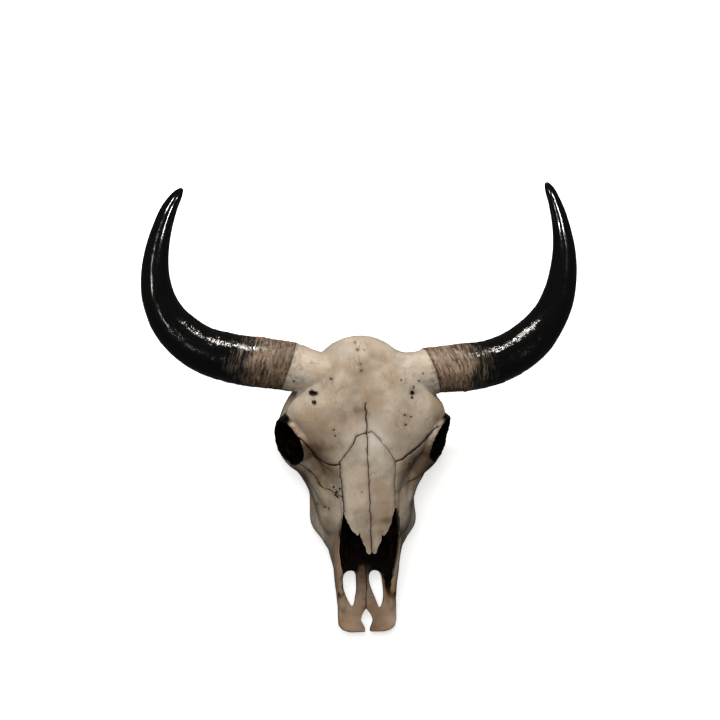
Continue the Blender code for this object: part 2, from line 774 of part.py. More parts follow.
def main():
    bone = fused_bone()
    bones = facial_bones(bone)
    for word in SIDES:
        trim_pedicle(bone, word)
    bones["cranium"] = bone
    for word, side in SIDES.items():
        set_teeth(bones[f"maxilla_{word}"], side)
        bones[f"horn_sheath_{word}"] = horn_sheath(word)
    for name, node in bones.items():
        largest_body(node)
        node.name = name
        node.data.materials.clear()
        node.data.materials.append(finish(slot_of(name)))
        node.data.shade_smooth()
        node.data.set_sharp_from_angle(angle=math.radians(40))
    lay_to_rest(list(bones.values()))


def start():
    for obj in list(bpy.data.objects):
        bpy.data.objects.remove(obj)


if __name__ == "__main__":
    start()
    main()
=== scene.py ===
"""A bull bison's skull with both horn sheaths, lying on its base with its face up.

The file follows the skull as it is put together: the bone as one mass, its sockets and
passages, its surface, the bones that the sutures part, the teeth, the horns, the studio.
Bone is shaped in the skull's own frame: x across, y from the muzzle's tip to the poll,
z out of the forehead. One turn then lays each piece where its solid lies.
"""
import math

import bmesh
import bpy
import numpy as np
from mathutils import Euler, Matrix, Vector
from mathutils.bvhtree import BVHTree


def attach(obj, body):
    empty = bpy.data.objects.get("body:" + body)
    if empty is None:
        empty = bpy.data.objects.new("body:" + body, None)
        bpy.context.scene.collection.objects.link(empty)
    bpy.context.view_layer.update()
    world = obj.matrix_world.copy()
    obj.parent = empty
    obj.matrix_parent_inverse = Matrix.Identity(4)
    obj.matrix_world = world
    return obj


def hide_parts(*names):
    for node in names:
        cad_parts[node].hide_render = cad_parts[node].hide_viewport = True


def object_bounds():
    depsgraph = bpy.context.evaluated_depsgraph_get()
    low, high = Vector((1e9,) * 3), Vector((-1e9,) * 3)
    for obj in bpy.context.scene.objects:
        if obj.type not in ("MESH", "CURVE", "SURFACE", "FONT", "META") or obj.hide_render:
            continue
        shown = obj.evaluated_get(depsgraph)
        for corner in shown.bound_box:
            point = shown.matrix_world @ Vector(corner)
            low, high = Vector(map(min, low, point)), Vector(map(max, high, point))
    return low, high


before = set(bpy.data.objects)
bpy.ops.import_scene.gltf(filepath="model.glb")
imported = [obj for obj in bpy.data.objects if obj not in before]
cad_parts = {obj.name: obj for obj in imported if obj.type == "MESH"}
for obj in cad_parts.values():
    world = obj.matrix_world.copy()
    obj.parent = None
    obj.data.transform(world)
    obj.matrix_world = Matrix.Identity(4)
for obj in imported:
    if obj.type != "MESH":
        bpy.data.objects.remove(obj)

cad_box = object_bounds()

# The mass of the bone
# A skull grows as plates that meet at sutures, but under them it is one rounded mass. It is
# built up from lofted and swept masses, as clay would be, and one remesh presses them together.
SIDES = {"left": 1.0, "right": -1.0}
BONE_VOXEL = 0.0015
BLENDING = 16
LOFT_POINTS = 48
BASE_PITCH = math.radians(11.0)
BASE_AT_TIP = -0.119
ORBIT_CENTRE = Vector((0.1375, 0.3500, -0.0680))
ORBIT_FACING = Vector((0.840, -0.430, 0.340)).normalized()
ORBIT_RADIUS = 0.0400


def alone(piece):
    """Selects one piece and nothing else."""
    bpy.ops.object.select_all(action="DESELECT")
    piece.select_set(True)
    bpy.context.view_layer.objects.active = piece
    return piece


def worked(piece, kind, **settings):
    """Gives a piece one modifier and applies it."""
    alone(piece)
    step = piece.modifiers.new("step", kind)
    for name, value in settings.items():
        setattr(step, name, value)
    bpy.ops.object.modifier_apply(modifier=step.name)
    return piece


def joined(pieces):
    """Joins pieces into one."""
    bpy.ops.object.select_all(action="DESELECT")
    for piece in pieces:
        piece.select_set(True)
    bpy.context.view_layer.objects.active = pieces[0]
    bpy.ops.object.join()
    return bpy.context.object


def measured(path):
    """The rows of a path, each led by its distance along the path."""
    out = [(0.0, *path[0])]
    for before, row in zip(path, path[1:]):
        out.append((out[-1][0] + (Vector(row[:3]) - Vector(before[:3])).length, *row))
    return out


def smooth_rows(rows, count):
    """Rows keyed by their first column, read off a smooth curve through them at count keys."""
    rows = np.array(rows, float)
    keys = rows[:, 0]
    slopes = np.gradient(rows, keys, axis=0)
    out = []
    for key in np.linspace(keys[0], keys[-1], count):
        i = min(max(int(np.searchsorted(keys, key)) - 1, 0), len(keys) - 2)
        step = keys[i + 1] - keys[i]
        t = (key - keys[i]) / step
        out.append((2 * t**3 - 3 * t**2 + 1) * rows[i]
                   + (t**3 - 2 * t**2 + t) * step * slopes[i]
                   + (3 * t**2 - 2 * t**3) * rows[i + 1]
                   + (t**3 - t**2) * step * slopes[i + 1])
    return out


def closed_curve(points, count):
    """count points on a smooth closed curve through the given points."""
    points = np.array(points, float)
    out = []
    for i in range(count):
        at = i * len(points) / count
        k, t = int(at), at - int(at)
        p0, p1, p2, p3 = (points[(k + j) % len(points)] for j in (-1, 0, 1, 2))
        out.append(0.5 * (2 * p1 + (p2 - p0) * t + (2 * p0 - 5 * p1 + 4 * p2 - p3) * t**2
                          + (3 * p1 - p0 - 3 * p2 + p3) * t**3))
    return out


def faces_outward(mesh):
    """Turns an edit mesh's faces out."""
    bpy.ops.mesh.select_all(action="SELECT")
    bpy.ops.mesh.normals_make_consistent(inside=False)
    if mesh.calc_volume(signed=True) < 0:
        bpy.ops.mesh.flip_normals()


def skin(name, rings):
    """A filled loop extruded from ring to ring, which leaves a closed skin."""
    bpy.ops.object.select_all(action="DESELECT")
    bpy.ops.mesh.primitive_circle_add(vertices=len(rings[0]), radius=0.01, fill_type="NGON")
    piece = bpy.context.object
    piece.name = name
    bpy.ops.object.mode_set(mode="EDIT")
    bpy.ops.mesh.select_all(action="SELECT")
    loop = list(range(len(rings[0])))
    for i, ring in enumerate(rings):
        if i:
            bpy.ops.mesh.extrude_region()
        mesh = bmesh.from_edit_mesh(piece.data)
        mesh.verts.ensure_lookup_table()
        mesh.verts.index_update()
        if i:
            grown = []
            for k in loop:
                ends = [edge.other_vert(mesh.verts[k]) for edge in mesh.verts[k].link_edges]
                grown.append(next(end.index for end in ends if end.select))
            loop = grown
        for k, place in zip(loop, ring):
            mesh.verts[k].co = place
    faces_outward(mesh)
    bpy.ops.object.mode_set(mode="OBJECT")
    return piece


def loft(name, rows, section, count):
    """A loft along y, the same on both sides. section turns a row into its half, top to bottom."""
    rings = []
    for row in smooth_rows(rows, count):
        half = section(*row[1:])
        ring = half + [(-x, z) for x, z in reversed(half[1:-1])]
        rings.append([(x, row[0], z) for x, z in closed_curve(ring, LOFT_POINTS)])
    return skin(name, rings)


def bar(name, path, count=24, across=(0, 0, 1), round_ends=True, sides=20):
    """A swept bar. A row is x, y, z, half thickness sideways, half thickness along across."""
    rows = smooth_rows(measured(path), count)
    rings = []
    for i, row in enumerate(rows):
        before, after = rows[max(i - 1, 0)], rows[min(i + 1, count - 1)]
        along = Vector(after[1:4] - before[1:4]).normalized()
        side = along.cross(Vector(across)).normalized()
        up = side.cross(along)
        taper = 1.0
        if round_ends:
            taper = (0.45, 0.8, 0.95, 1.0)[min(i, count - 1 - i, 3)]
        turns = [2 * math.pi * k / sides for k in range(sides)]
        rings.append([Vector(row[1:4]) + side * (math.cos(a) * row[4] * taper)
                      + up * (math.sin(a) * row[5] * taper) for a in turns])
    return skin(name, rings)


def ball(name, centre, radii):
    """A ball drawn out along the axes."""
    bpy.ops.object.select_all(action="DESELECT")
    bpy.ops.mesh.primitive_ico_sphere_add(subdivisions=5, radius=1, location=centre, scale=radii)
    piece = bpy.context.object
    piece.name = name
    bpy.ops.object.transform_apply(location=True, rotation=True, scale=True)
    return piece


def spool(name, start, end, start_radius, end_radius):
    """A round frustum between two points."""
    axis = Vector(end) - Vector(start)
    bpy.ops.object.select_all(action="DESELECT")
    bpy.ops.mesh.primitive_cone_add(
        vertices=72, radius1=start_radius, radius2=end_radius, depth=axis.length,
        location=(Vector(start) + Vector(end)) / 2, rotation=axis.to_track_quat("Z", "Y").to_euler())
    piece = bpy.context.object
    piece.name = name
    bpy.ops.object.transform_apply(location=True, rotation=True, scale=True)
    return piece


def base_level(y):
    """Height of the table under the skull, in the skull's own frame."""
    return BASE_AT_TIP - math.tan(BASE_PITCH) * y


def eye_socket(side):
    """The middle of an eye socket's rim and the way that it faces."""
    return (Vector((ORBIT_CENTRE.x * side, *ORBIT_CENTRE.yz)),
            Vector((ORBIT_FACING.x * side, *ORBIT_FACING.yz)))


def on_side(rows, side):
    """A path drawn for the animal's left, on the side that is asked for."""
    return [(row[0] * side, *row[1:]) for row in rows]


def rostrum_section(roof_half, roof_z, drop, cheek_half, cheek_z, base_half, base_z):
    """Nasal roof, the cheek's slope, its crest and the palate."""
    return [(0, roof_z), (0.6 * roof_half, roof_z - 0.3 * drop), (roof_half, roof_z - drop),
            (roof_half + 0.52 * (cheek_half - roof_half), 0.56 * (roof_z - drop) + 0.44 * cheek_z),
            (cheek_half, cheek_z), (base_half + 0.006, base_z + 0.010),
            (0.5 * base_half, base_z), (0, base_z)]


def shield_section(half, crown, edge):
    """The frontal shield: a low crown that rolls down to its edges."""
    fall = crown - edge
    return [(0, crown), (0.45 * half, crown - 0.1 * fall), (0.82 * half, crown - 0.5 * fall),
            (half, edge), (0.94 * half, edge - 0.011), (0.6 * half, edge - 0.024),
            (0, edge - 0.030)]


def brain_section(half, top, bottom):
    """The braincase: flat above, widest at the ears, narrow below."""
    middle = (top + bottom) / 2
    return [(0, top), (0.8 * half, top), (half, middle + 0.01), (0.78 * half, bottom + 0.02),
            (0.4 * half, bottom), (0, bottom)]


masses = [
    loft("rostrum", [
        (0.100, 0.032, -0.027, 0.013, 0.056, -0.088, 0.044, -0.105),
        (0.118, 0.035, -0.024, 0.013, 0.061, -0.090, 0.047, -0.106),
        (0.150, 0.041, -0.018, 0.013, 0.069, -0.094, 0.052, -0.111),
        (0.190, 0.047, -0.013, 0.013, 0.079, -0.099, 0.058, -0.118),
        (0.228, 0.050, -0.009, 0.013, 0.085, -0.102, 0.064, -0.127),
        (0.262, 0.053, -0.006, 0.014, 0.091, -0.102, 0.068, -0.135),
        (0.295, 0.062, -0.003, 0.015, 0.103, -0.096, 0.068, -0.143),
        (0.330, 0.080, 0.000, 0.018, 0.108, -0.088, 0.058, -0.148),
        (0.360, 0.088, 0.001, 0.024, 0.098, -0.080, 0.046, -0.146)], rostrum_section, 36),
    loft("forehead", [
        (0.284, 0.058, -0.005, -0.022),
        (0.318, 0.092, -0.001, -0.032),
        (0.346, 0.114, 0.003, -0.036),
        (0.372, 0.132, 0.006, -0.040),
        (0.396, 0.145, 0.007, -0.046),
        (0.412, 0.142, 0.007, -0.048),
        (0.432, 0.128, 0.006, -0.048),
        (0.456, 0.118, 0.004, -0.046),
        (0.482, 0.108, -0.005, -0.050),
        (0.503, 0.086, -0.020, -0.058),
        (0.516, 0.056, -0.036, -0.066)], shield_section, 48),
    loft("braincase", [
        (0.330, 0.046, -0.030, -0.138),
        (0.372, 0.056, -0.030, -0.142),
        (0.410, 0.066, -0.030, -0.152),
        (0.440, 0.084, -0.030, -0.164),
        (0.462, 0.108, -0.034, -0.170),
        (0.480, 0.110, -0.040, -0.168),
        (0.494, 0.094, -0.050, -0.158),
        (0.501, 0.066, -0.064, -0.142)], brain_section, 24),
    ball("poll", (-0.010, 0.4525, -0.052), (0.092, 0.0880, 0.054)),
    bar("skull_base", [
        (0, 0.350, -0.140, 0.030, 0.016),
        (0, 0.410, -0.154, 0.020, 0.016),
        (0, 0.450, -0.166, 0.024, 0.016),
        (0, 0.486, -0.172, 0.034, 0.016)])]

PLATE_LEVELS = (-0.1075, -0.0925)
# Half of the premaxillae's plate from above: the two are not alike
PREMAXILLA_PLATES = {
    "right": [(-0.0020, -0.0030), (0.006, -0.0036), (0.014, -0.0040), (0.032, -0.0045),
              (0.046, 0.0000), (0.0540, 0.0090), (0.0550, 0.026), (0.0545, 0.048),
              (0.052, 0.070), (0.050, 0.118), (-0.0020, 0.118)],
    "left": [(-0.0020, -0.0030), (0.006, -0.0036), (0.014, -0.0040), (0.030, -0.0045),
             (0.042, -0.0010), (0.0505, 0.0060), (0.0530, 0.018), (0.0535, 0.048),
             (0.051, 0.070), (0.049, 0.118), (-0.0020, 0.118)]}
# The raised strip on each side of the plate's middle
PALATE_STRIPS = {
    "right": [(0.0155, 0.040, -0.0985, 0.0130, 0.0080), (0.0130, 0.055, -0.0985, 0.0108, 0.0085),
              (0.0105, 0.075, -0.0985, 0.0084, 0.0085), (0.0095, 0.100, -0.1000, 0.0079, 0.0085),
              (0.0090, 0.150, -0.1060, 0.0060, 0.0060)],
    "left": [(0.0100, 0.040, -0.0985, 0.0130, 0.0080), (0.0065, 0.055, -0.0985, 0.0090, 0.0085),
             (0.0037, 0.075, -0.0985, 0.0058, 0.0085), (0.0023, 0.100, -0.1000, 0.0042, 0.0085),
             (0.0030, 0.150, -0.1060, 0.0050, 0.0060)]}


def prism(name, outline, low, high, axis="z"):
    """An outline pushed along z, or along x where it is in y and z.

    low and high are levels, or functions of the outline's two coordinates."""
    rings = []
    for level in (low, high):
        ring = []
        for a, b in outline:
            c = level(a, b) if callable(level) else level
            ring.append((a, b, c) if axis == "z" else (c, a, b))
        rings.append(ring)
    return skin(name, rings)


for word, side in SIDES.items():
    centre, facing = eye_socket(side)
    masses += [
        spool("orbit_cup", centre - facing * 0.075, centre + facing * 0.002,
              0.060, ORBIT_RADIUS + 0.0055),
        bar("lacrimal_swell", on_side([
            (0.052, 0.186, -0.060, 0.012, 0.010),
            (0.057, 0.212, -0.060, 0.017, 0.015),
            (0.063, 0.240, -0.060, 0.021, 0.018),
            (0.075, 0.270, -0.063, 0.022, 0.017),
            (0.091, 0.302, -0.067, 0.024, 0.018),
            (0.104, 0.332, -0.068, 0.020, 0.018)], side)),
        bar("cheek_wall", on_side([
            (0.0550, 0.176, -0.0640, 0.027, 0.009),
            (0.0618, 0.205, -0.0570, 0.034, 0.012),
            (0.0643, 0.232, -0.0534, 0.036, 0.012),
            (0.0667, 0.258, -0.0532, 0.036, 0.012),
            (0.0712, 0.280, -0.0562, 0.033, 0.011),
            (0.0755, 0.300, -0.0610, 0.024, 0.008)], side), across=(0.79 * side, 0, 0.61)),
        bar("cheek_face", on_side([
            (0.068, 0.190, -0.086, 0.010, 0.012),
            (0.074, 0.218, -0.085, 0.012, 0.019),
            (0.080, 0.244, -0.084, 0.013, 0.023),
            (0.088, 0.266, -0.083, 0.012, 0.023),
            (0.099, 0.290, -0.083, 0.013, 0.024),
            (0.118, 0.314, -0.085, 0.017, 0.024),
            (0.130, 0.334, -0.088, 0.015, 0.022)], side)),
        bar("cheek_arch", on_side([
            (0.102, 0.288, -0.104, 0.010, 0.015),
            (0.130, 0.314, -0.104, 0.010, 0.015),
            (0.149, 0.350, -0.108, 0.009, 0.014),
            (0.146, 0.392, -0.108, 0.008, 0.012),
            (0.130, 0.426, -0.110, 0.008, 0.010),
            (0.092, 0.456, -0.114, 0.012, 0.014),
            (0.060, 0.470, -0.118, 0.018, 0.020)], side)),
        bar("cheek_crest", on_side([
            (0.127, 0.314, -0.100, 0.011, 0.016),
            (0.102, 0.286, -0.104, 0.011, 0.016),
            (0.0875, 0.258, -0.107, 0.011, 0.015),
            (0.0845, 0.230, -0.108, 0.013, 0.014),
            (0.0850, 0.200, -0.106, 0.013, 0.013),
            (0.0700, 0.174, -0.104, 0.011, 0.012),
            (0.0545, 0.142, -0.099, 0.010, 0.010)], side)),
        bar("tooth_ridge", on_side([
            (0.050, 0.164, base_level(0.164) + 0.028, 0.011, 0.012),
            (0.059, 0.215, base_level(0.215) + 0.030, 0.015, 0.014),
            (0.062, 0.265, base_level(0.265) + 0.030, 0.017, 0.014),
            (0.058, 0.318, base_level(0.318) + 0.032, 0.017, 0.014),
            (0.052, 0.342, base_level(0.342) + 0.040, 0.014, 0.014)], side)),
        bar("horn_pedicle", on_side([
            (0.040, 0.466, -0.046, 0.040, 0.036),
            (0.078, 0.468, -0.050, 0.041, 0.038),
            (0.102, 0.472 - 0.003 * side, -0.054, 0.0415, 0.038),
            (0.124, 0.478 - 0.004 * side, -0.060, 0.044, 0.040),
            (0.150, 0.483 - 0.005 * side, -0.064, 0.046, 0.044),
            (0.172, 0.486 - 0.006 * side, -0.066, 0.047, 0.045)], side), round_ends=False),
        bar("nasal_process", on_side([
            (0.0435 - 0.0015 * side, 0.030, -0.098, 0.010, 0.008),
            (0.0460 - 0.0018 * side, 0.055, -0.095, 0.009, 0.010),
            (0.0490 - 0.0008 * side, 0.085, -0.090, 0.0085, 0.015),
            (0.0520, 0.115, -0.083, 0.0085, 0.019),
            (0.0525, 0.150, -0.074, 0.0095, 0.023),
            (0.0530, 0.190, -0.066, 0.0085, 0.028)], side)),
        prism("premaxilla_plate", on_side(PREMAXILLA_PLATES[word], side), *PLATE_LEVELS),
        bar("palate_strip", on_side(PALATE_STRIPS[word], side)),
        ball("condyle", (0.039 * side, 0.488, -0.166), (0.023, 0.026, 0.026)),
        bar("paracondylar", on_side([
            (0.074, 0.468, -0.135, 0.034, 0.030),
            (0.078, 0.473, -0.160, 0.024, 0.023),
            (0.076, 0.477, -0.184, 0.014, 0.016),
            (0.071, 0.477, base_level(0.477) - 0.004, 0.008, 0.011)], side),
            across=(0, 1, 0), round_ends=False),
        ball("bulla", (0.046 * side, 0.452, -0.160), (0.015, 0.022, 0.019)),
        spool("ear_tube", (0.050 * side, 0.456, -0.140), (0.098 * side, 0.462, -0.128),
              0.014, 0.010),
        bar("pterygoid", on_side([
            (0.030, 0.326, -0.142, 0.008, 0.012),
            (0.026, 0.352, -0.152, 0.005, 0.020),
            (0.024, 0.382, -0.160, 0.005, 0.018),
            (0.022, 0.410, -0.160, 0.006, 0.012)], side))]

bone = joined(masses)
bone.name = "bone"
worked(bone, "REMESH", mode="VOXEL", voxel_size=BONE_VOXEL)
worked(bone, "SMOOTH", factor=0.5, iterations=BLENDING)

# Sockets and passages
# The eye sockets, the nose's passage, the gaps of the palate and the hole for the spine are
# hollows with thin dry edges. They are cut out of the mass, and a second remesh softens the rims.
CUT_SOFTENING = 4
MUZZLE_LEAN = 0.0025


def cavity_section(half, top, bottom):
    """The nose's passage: arched above, flat below."""
    return [(0, top), (0.7 * half, top - 0.004), (0.95 * half, top - 0.014),
            (half, (top + bottom) / 2), (0.8 * half, bottom), (0, bottom)]


nose_hollow = loft("nose_hollow", [
    (0.060, 0.034, -0.040, -0.0890),
    (0.100, 0.042, -0.038, -0.0910),
    (0.150, 0.0465, -0.0325, -0.0975),
    (0.200, 0.0485, -0.0270, -0.104),
    (0.240, 0.044, -0.0240, -0.110),
    (0.285, 0.028, -0.028, -0.108)], cavity_section, 24)
hollows = [nose_hollow]
orbit_hollows = []
for word, side in SIDES.items():
    centre, facing = eye_socket(side)
    orbit_hollows += [
        spool("orbit", centre - facing * 0.030, centre + facing * 0.030,
              ORBIT_RADIUS - 0.003, ORBIT_RADIUS + 0.0035),
        ball("orbit_depth", centre - facing * 0.030, (0.038, 0.038, 0.036))]
    hollows.append(bar("choana", on_side([
        (0.012, 0.318, -0.158, 0.008, 0.016),
        (0.012, 0.352, -0.158, 0.011, 0.018),
        (0.010, 0.386, -0.170, 0.009, 0.014)], side)))
# The two holes in the palate and the notch at its tip, as they lie once the muzzle leans
PALATE_GAPS = {
    "right_hole": [(-0.0273, 0.1090), (-0.0354, 0.1060), (-0.0396, 0.0974), (-0.0407, 0.0794),
                   (-0.0381, 0.0674), (-0.0331, 0.0545), (-0.0252, 0.0431), (-0.0215, 0.0502),
                   (-0.0197, 0.0609), (-0.0167, 0.0708), (-0.0153, 0.0827), (-0.0149, 0.1007),
                   (-0.0193, 0.1080)],
    "left_hole": [(0.0089, 0.1000), (0.0123, 0.1068), (0.0192, 0.1086), (0.0272, 0.1064),
                  (0.0320, 0.0994), (0.0338, 0.0874), (0.0339, 0.0734), (0.0328, 0.0574),
                  (0.0298, 0.0455), (0.0256, 0.0389), (0.0213, 0.0466), (0.0163, 0.0599),
                  (0.0117, 0.0740), (0.0087, 0.0881)],
    "tip_notch": [(-0.0003, 0.0392), (-0.0044, 0.0337), (-0.0077, 0.0283), (-0.0094, 0.0219),
                  (-0.0099, 0.0172), (-0.0056, 0.0099), (-0.0029, 0.0034), (-0.0026, -0.0038),
                  (-0.0040, -0.0200), (0.0085, -0.0200), (0.0071, -0.0041), (0.0072, 0.0031),
                  (0.0106, 0.0110), (0.0123, 0.0181), (0.0096, 0.0262), (0.0045, 0.0335)]}
GAP_POINTS = 48
GAP_LEVELS = (-0.130, -0.070)
for name, outline in PALATE_GAPS.items():
    unleant = [(x - MUZZLE_LEAN, y) for x, y in outline]
    hollows.append(prism(name, closed_curve(unleant, GAP_POINTS), *GAP_LEVELS))
hollows.append(spool("foramen_magnum", (0, 0.450, -0.138), (0, 0.540, -0.140), 0.015, 0.020))


def cut(piece, tool, how):
    """One cut, union or overlap with another closed piece, which is then thrown away."""
    worked(piece, "BOOLEAN", operation=how, solver="MANIFOLD", object=tool)
    bpy.data.objects.remove(tool)
    return piece


def wall_of(piece):
    """A piece's skin to measure distances from, and the two corners of the box round it."""
    mesh = piece.data
    corners = np.array([v.co for v in mesh.vertices])
    tree = BVHTree.FromPolygons([v.co for v in mesh.vertices], [p.vertices for p in mesh.polygons])
    return tree, corners.min(axis=0), corners.max(axis=0)


hollow_shade_walls = [wall_of(tool) for tool in [nose_hollow, *orbit_hollows]]
for tool in hollows + orbit_hollows:
    cut(bone, tool, "DIFFERENCE")
worked(bone, "REMESH", mode="VOXEL", voxel_size=BONE_VOXEL)
worked(bone, "SMOOTH", factor=0.5, iterations=CUT_SOFTENING)

# The surface of the bone
# Weathered bone is smooth in the large and pitted in the small. Grooves mark the sutures,
# vessels leave round holes over the brows, and the rims and the horns' roots are rugged.


def noise(points, size, seed):
    """Smooth noise from -1 to 1, one swell to each size metres."""
    at = points / size + seed * 17.31
    cell = np.floor(at).astype(np.int64)
    t = at - cell
    t = t * t * (3 - 2 * t)
    total = np.zeros(len(points))
    for corner in range(8):
        step = np.array([corner & 1, corner >> 1 & 1, corner >> 2 & 1])
        key = (cell + step) @ np.array([374761393, 668265263, 974634777])
        key = (key ^ (key >> 13)) * 1274126177
        value = ((key ^ (key >> 16)) & 0xFFFF) / 32767.5 - 1
        total += value * np.prod(np.where(step, t, 1 - t), axis=1)
    return total


def ramp(value, low, high):
    """0 below low, 1 above high, smooth between."""
    t = np.clip((value - low) / (high - low), 0, 1)
    return t * t * (3 - 2 * t)


def off_socket(places, side):
    """Each place from an eye socket's middle: its offset, how far out, how far off the axis."""
    centre, facing = (np.array(v) for v in eye_socket(side))
    off = places - centre
    out = off @ facing
    return off, out, np.linalg.norm(off - out[:, None] * facing, axis=1)


def mesh_places(piece):
    """Where each vertex is, and which way the skin faces there."""
    count = len(piece.data.vertices)
    places, normals = np.empty(count * 3), np.empty(count * 3)
    piece.data.vertices.foreach_get("co", places)
    piece.data.vertices.foreach_get("normal", normals)
    return places.reshape(-1, 3), normals.reshape(-1, 3)


def move_places(piece, places):
    """Puts each vertex at its place."""
    piece.data.vertices.foreach_set("co", places.ravel())
    piece.data.update()


def drawn(path):
    """A line on the face with the small bends of a real suture, as x and y."""
    path = np.array([row[:2] for row in path], float)
    out = []
    for a, b in zip(path, path[1:]):
        steps = max(int(np.linalg.norm(b - a) / 0.0018), 1)
        out += [a + (b - a) * k / steps for k in range(steps)]
    out.append(path[-1])
    out = np.array(out)
    flat = np.column_stack([out, np.zeros(len(out))])
    for size, sway in ((0.011, 0.0011), (0.0042, 0.0006)):
        out = out + sway * np.column_stack([noise(flat, size, 3), noise(flat, size, 5)])
    return out


def off_line(places, path):
    """Distance, seen from above the face, from each place to a line: below 0 on its right."""
    spots = places[:, :2]
    close = ((spots > path.min(axis=0) - 0.03) & (spots < path.max(axis=0) + 0.03)).all(axis=1)
    spots = spots[close]
    best = np.full(len(spots), 1.0)
    for a, b in zip(path, path[1:]):
        edge, off = b - a, spots - a
        along = np.clip(off @ edge / max(edge @ edge, 1e-12), 0, 1)
        gap = np.linalg.norm(off - along[:, None] * edge, axis=1)
        gap = np.copysign(gap, edge[0] * off[:, 1] - edge[1] * off[:, 0])
        best = np.where(np.abs(gap) < np.abs(best), gap, best)
    out = np.full(len(places), 1.0)
    out[close] = best
    return out


# Lines on the face, x and y in metres, as the photograph shows them
NASAL_MIDLINE = [(-0.0060, 0.3600), (-0.0046, 0.3310), (-0.0042, 0.2955), (-0.0021, 0.2595),
                 (-0.0005, 0.2234), (0.0010, 0.1873), (0.0021, 0.1547), (0.0032, 0.1400)]
NASAL_RIGHT_EDGE = [(-0.0085, 0.3614), (-0.0170, 0.3595), (-0.0245, 0.3570), (-0.0315, 0.3430),
                    (-0.0400, 0.3285), (-0.0475, 0.3195), (-0.0545, 0.3105), (-0.0545, 0.2980),
                    (-0.0525, 0.2770), (-0.0505, 0.2600), (-0.0487, 0.2420), (-0.0480, 0.2204)]
NASAL_RIGHT_TIP = [(-0.0439, 0.2078), (-0.0383, 0.1975), (-0.0318, 0.1860), (-0.0229, 0.1780),
                   (-0.0205, 0.1805), (-0.0196, 0.1865), (-0.0176, 0.1750), (-0.0123, 0.1620),
                   (-0.0078, 0.1495), (-0.0040, 0.1440), (-0.0005, 0.1435)]
NASAL_LEFT_TIP = [(0.0030, 0.1490), (0.0060, 0.1440), (0.0098, 0.1450), (0.0149, 0.1579),
                  (0.0190, 0.1700), (0.0215, 0.1785), (0.0240, 0.1760), (0.0318, 0.1845),
                  (0.0376, 0.2006), (0.0435, 0.2185)]
NASAL_LEFT_EDGE = [(0.0462, 0.2274), (0.0455, 0.2400), (0.0454, 0.2580), (0.0453, 0.2850),
                   (0.0455, 0.3090), (0.0320, 0.3308), (0.0172, 0.3490), (0.0027, 0.3645),
                   (-0.0035, 0.3612)]
FRONTAL_MIDLINE = [(-0.0062, 0.3600), (-0.0063, 0.3764), (-0.0075, 0.3943), (-0.0079, 0.4140)]
BROW_LINES = {
    "right": [(-0.0540, 0.3060), (-0.0690, 0.3050), (-0.0800, 0.3090), (-0.0900, 0.3170),
              (-0.1020, 0.3300), (-0.1120, 0.3420), (-0.1270, 0.3560)],
    "left": [(0.0455, 0.3088), (0.0605, 0.3139), (0.0817, 0.3297), (0.1033, 0.3474),
             (0.1163, 0.3622), (0.1270, 0.3700)]}
# Round holes and pits: x, y, radius, depth
HOLES = [
    (-0.1020, 0.4355, 0.0052, 0.0060), (-0.0965, 0.4345, 0.0036, 0.0050),
    (-0.0992, 0.4180, 0.0040, 0.0036), (0.0795, 0.4328, 0.0038, 0.0060),
    (0.0780, 0.4240, 0.0020, 0.0020), (0.0829, 0.4437, 0.0018, 0.0018),
    (-0.0683, 0.4601, 0.0018, 0.0014), (-0.0652, 0.3684, 0.0019, 0.0016),
    (-0.0634, 0.3576, 0.0016, 0.0012), (0.0637, 0.3932, 0.0018, 0.0014),
    (0.0750, 0.3894, 0.0016, 0.0012), (0.0654, 0.3752, 0.0019, 0.0014),
    (-0.0216, 0.5260, 0.0018, 0.0005), (-0.0188, 0.5122, 0.0022, 0.0007),
    (-0.0064, 0.5120, 0.0018, 0.0004), (-0.0142, 0.4860, 0.0020, 0.0005),
    (-0.0140, 0.4735, 0.0026, 0.0007), (0.0729, 0.3045, 0.0018, 0.0014),
    (-0.0638, 0.2651, 0.0020, 0.0020), (-0.0593, 0.2562, 0.0022, 0.0022),
    (-0.0537, 0.2619, 0.0018, 0.0018), (-0.0577, 0.2472, 0.0019, 0.0018),
    (-0.0619, 0.2505, 0.0020, 0.0018), (-0.0156, 0.2561, 0.0014, 0.0010),
    (0.0590, 0.4560, 0.0016, 0.0012), (0.0930, 0.4540, 0.0016, 0.0012),
    (0.1010, 0.4680, 0.0017, 0.0012), (-0.1330, 0.4570, 0.0018, 0.0014),
    (-0.1052, 0.1975, 0.0034, 0.0010), (-0.0762, 0.1630, 0.0026, 0.0008),
    (-0.0770, 0.1565, 0.0026, 0.0008), (-0.0905, 0.2340, 0.0018, 0.0007),
    (-0.0780, 0.2290, 0.0020, 0.0007), (-0.0722, 0.2260, 0.0016, 0.0007)]

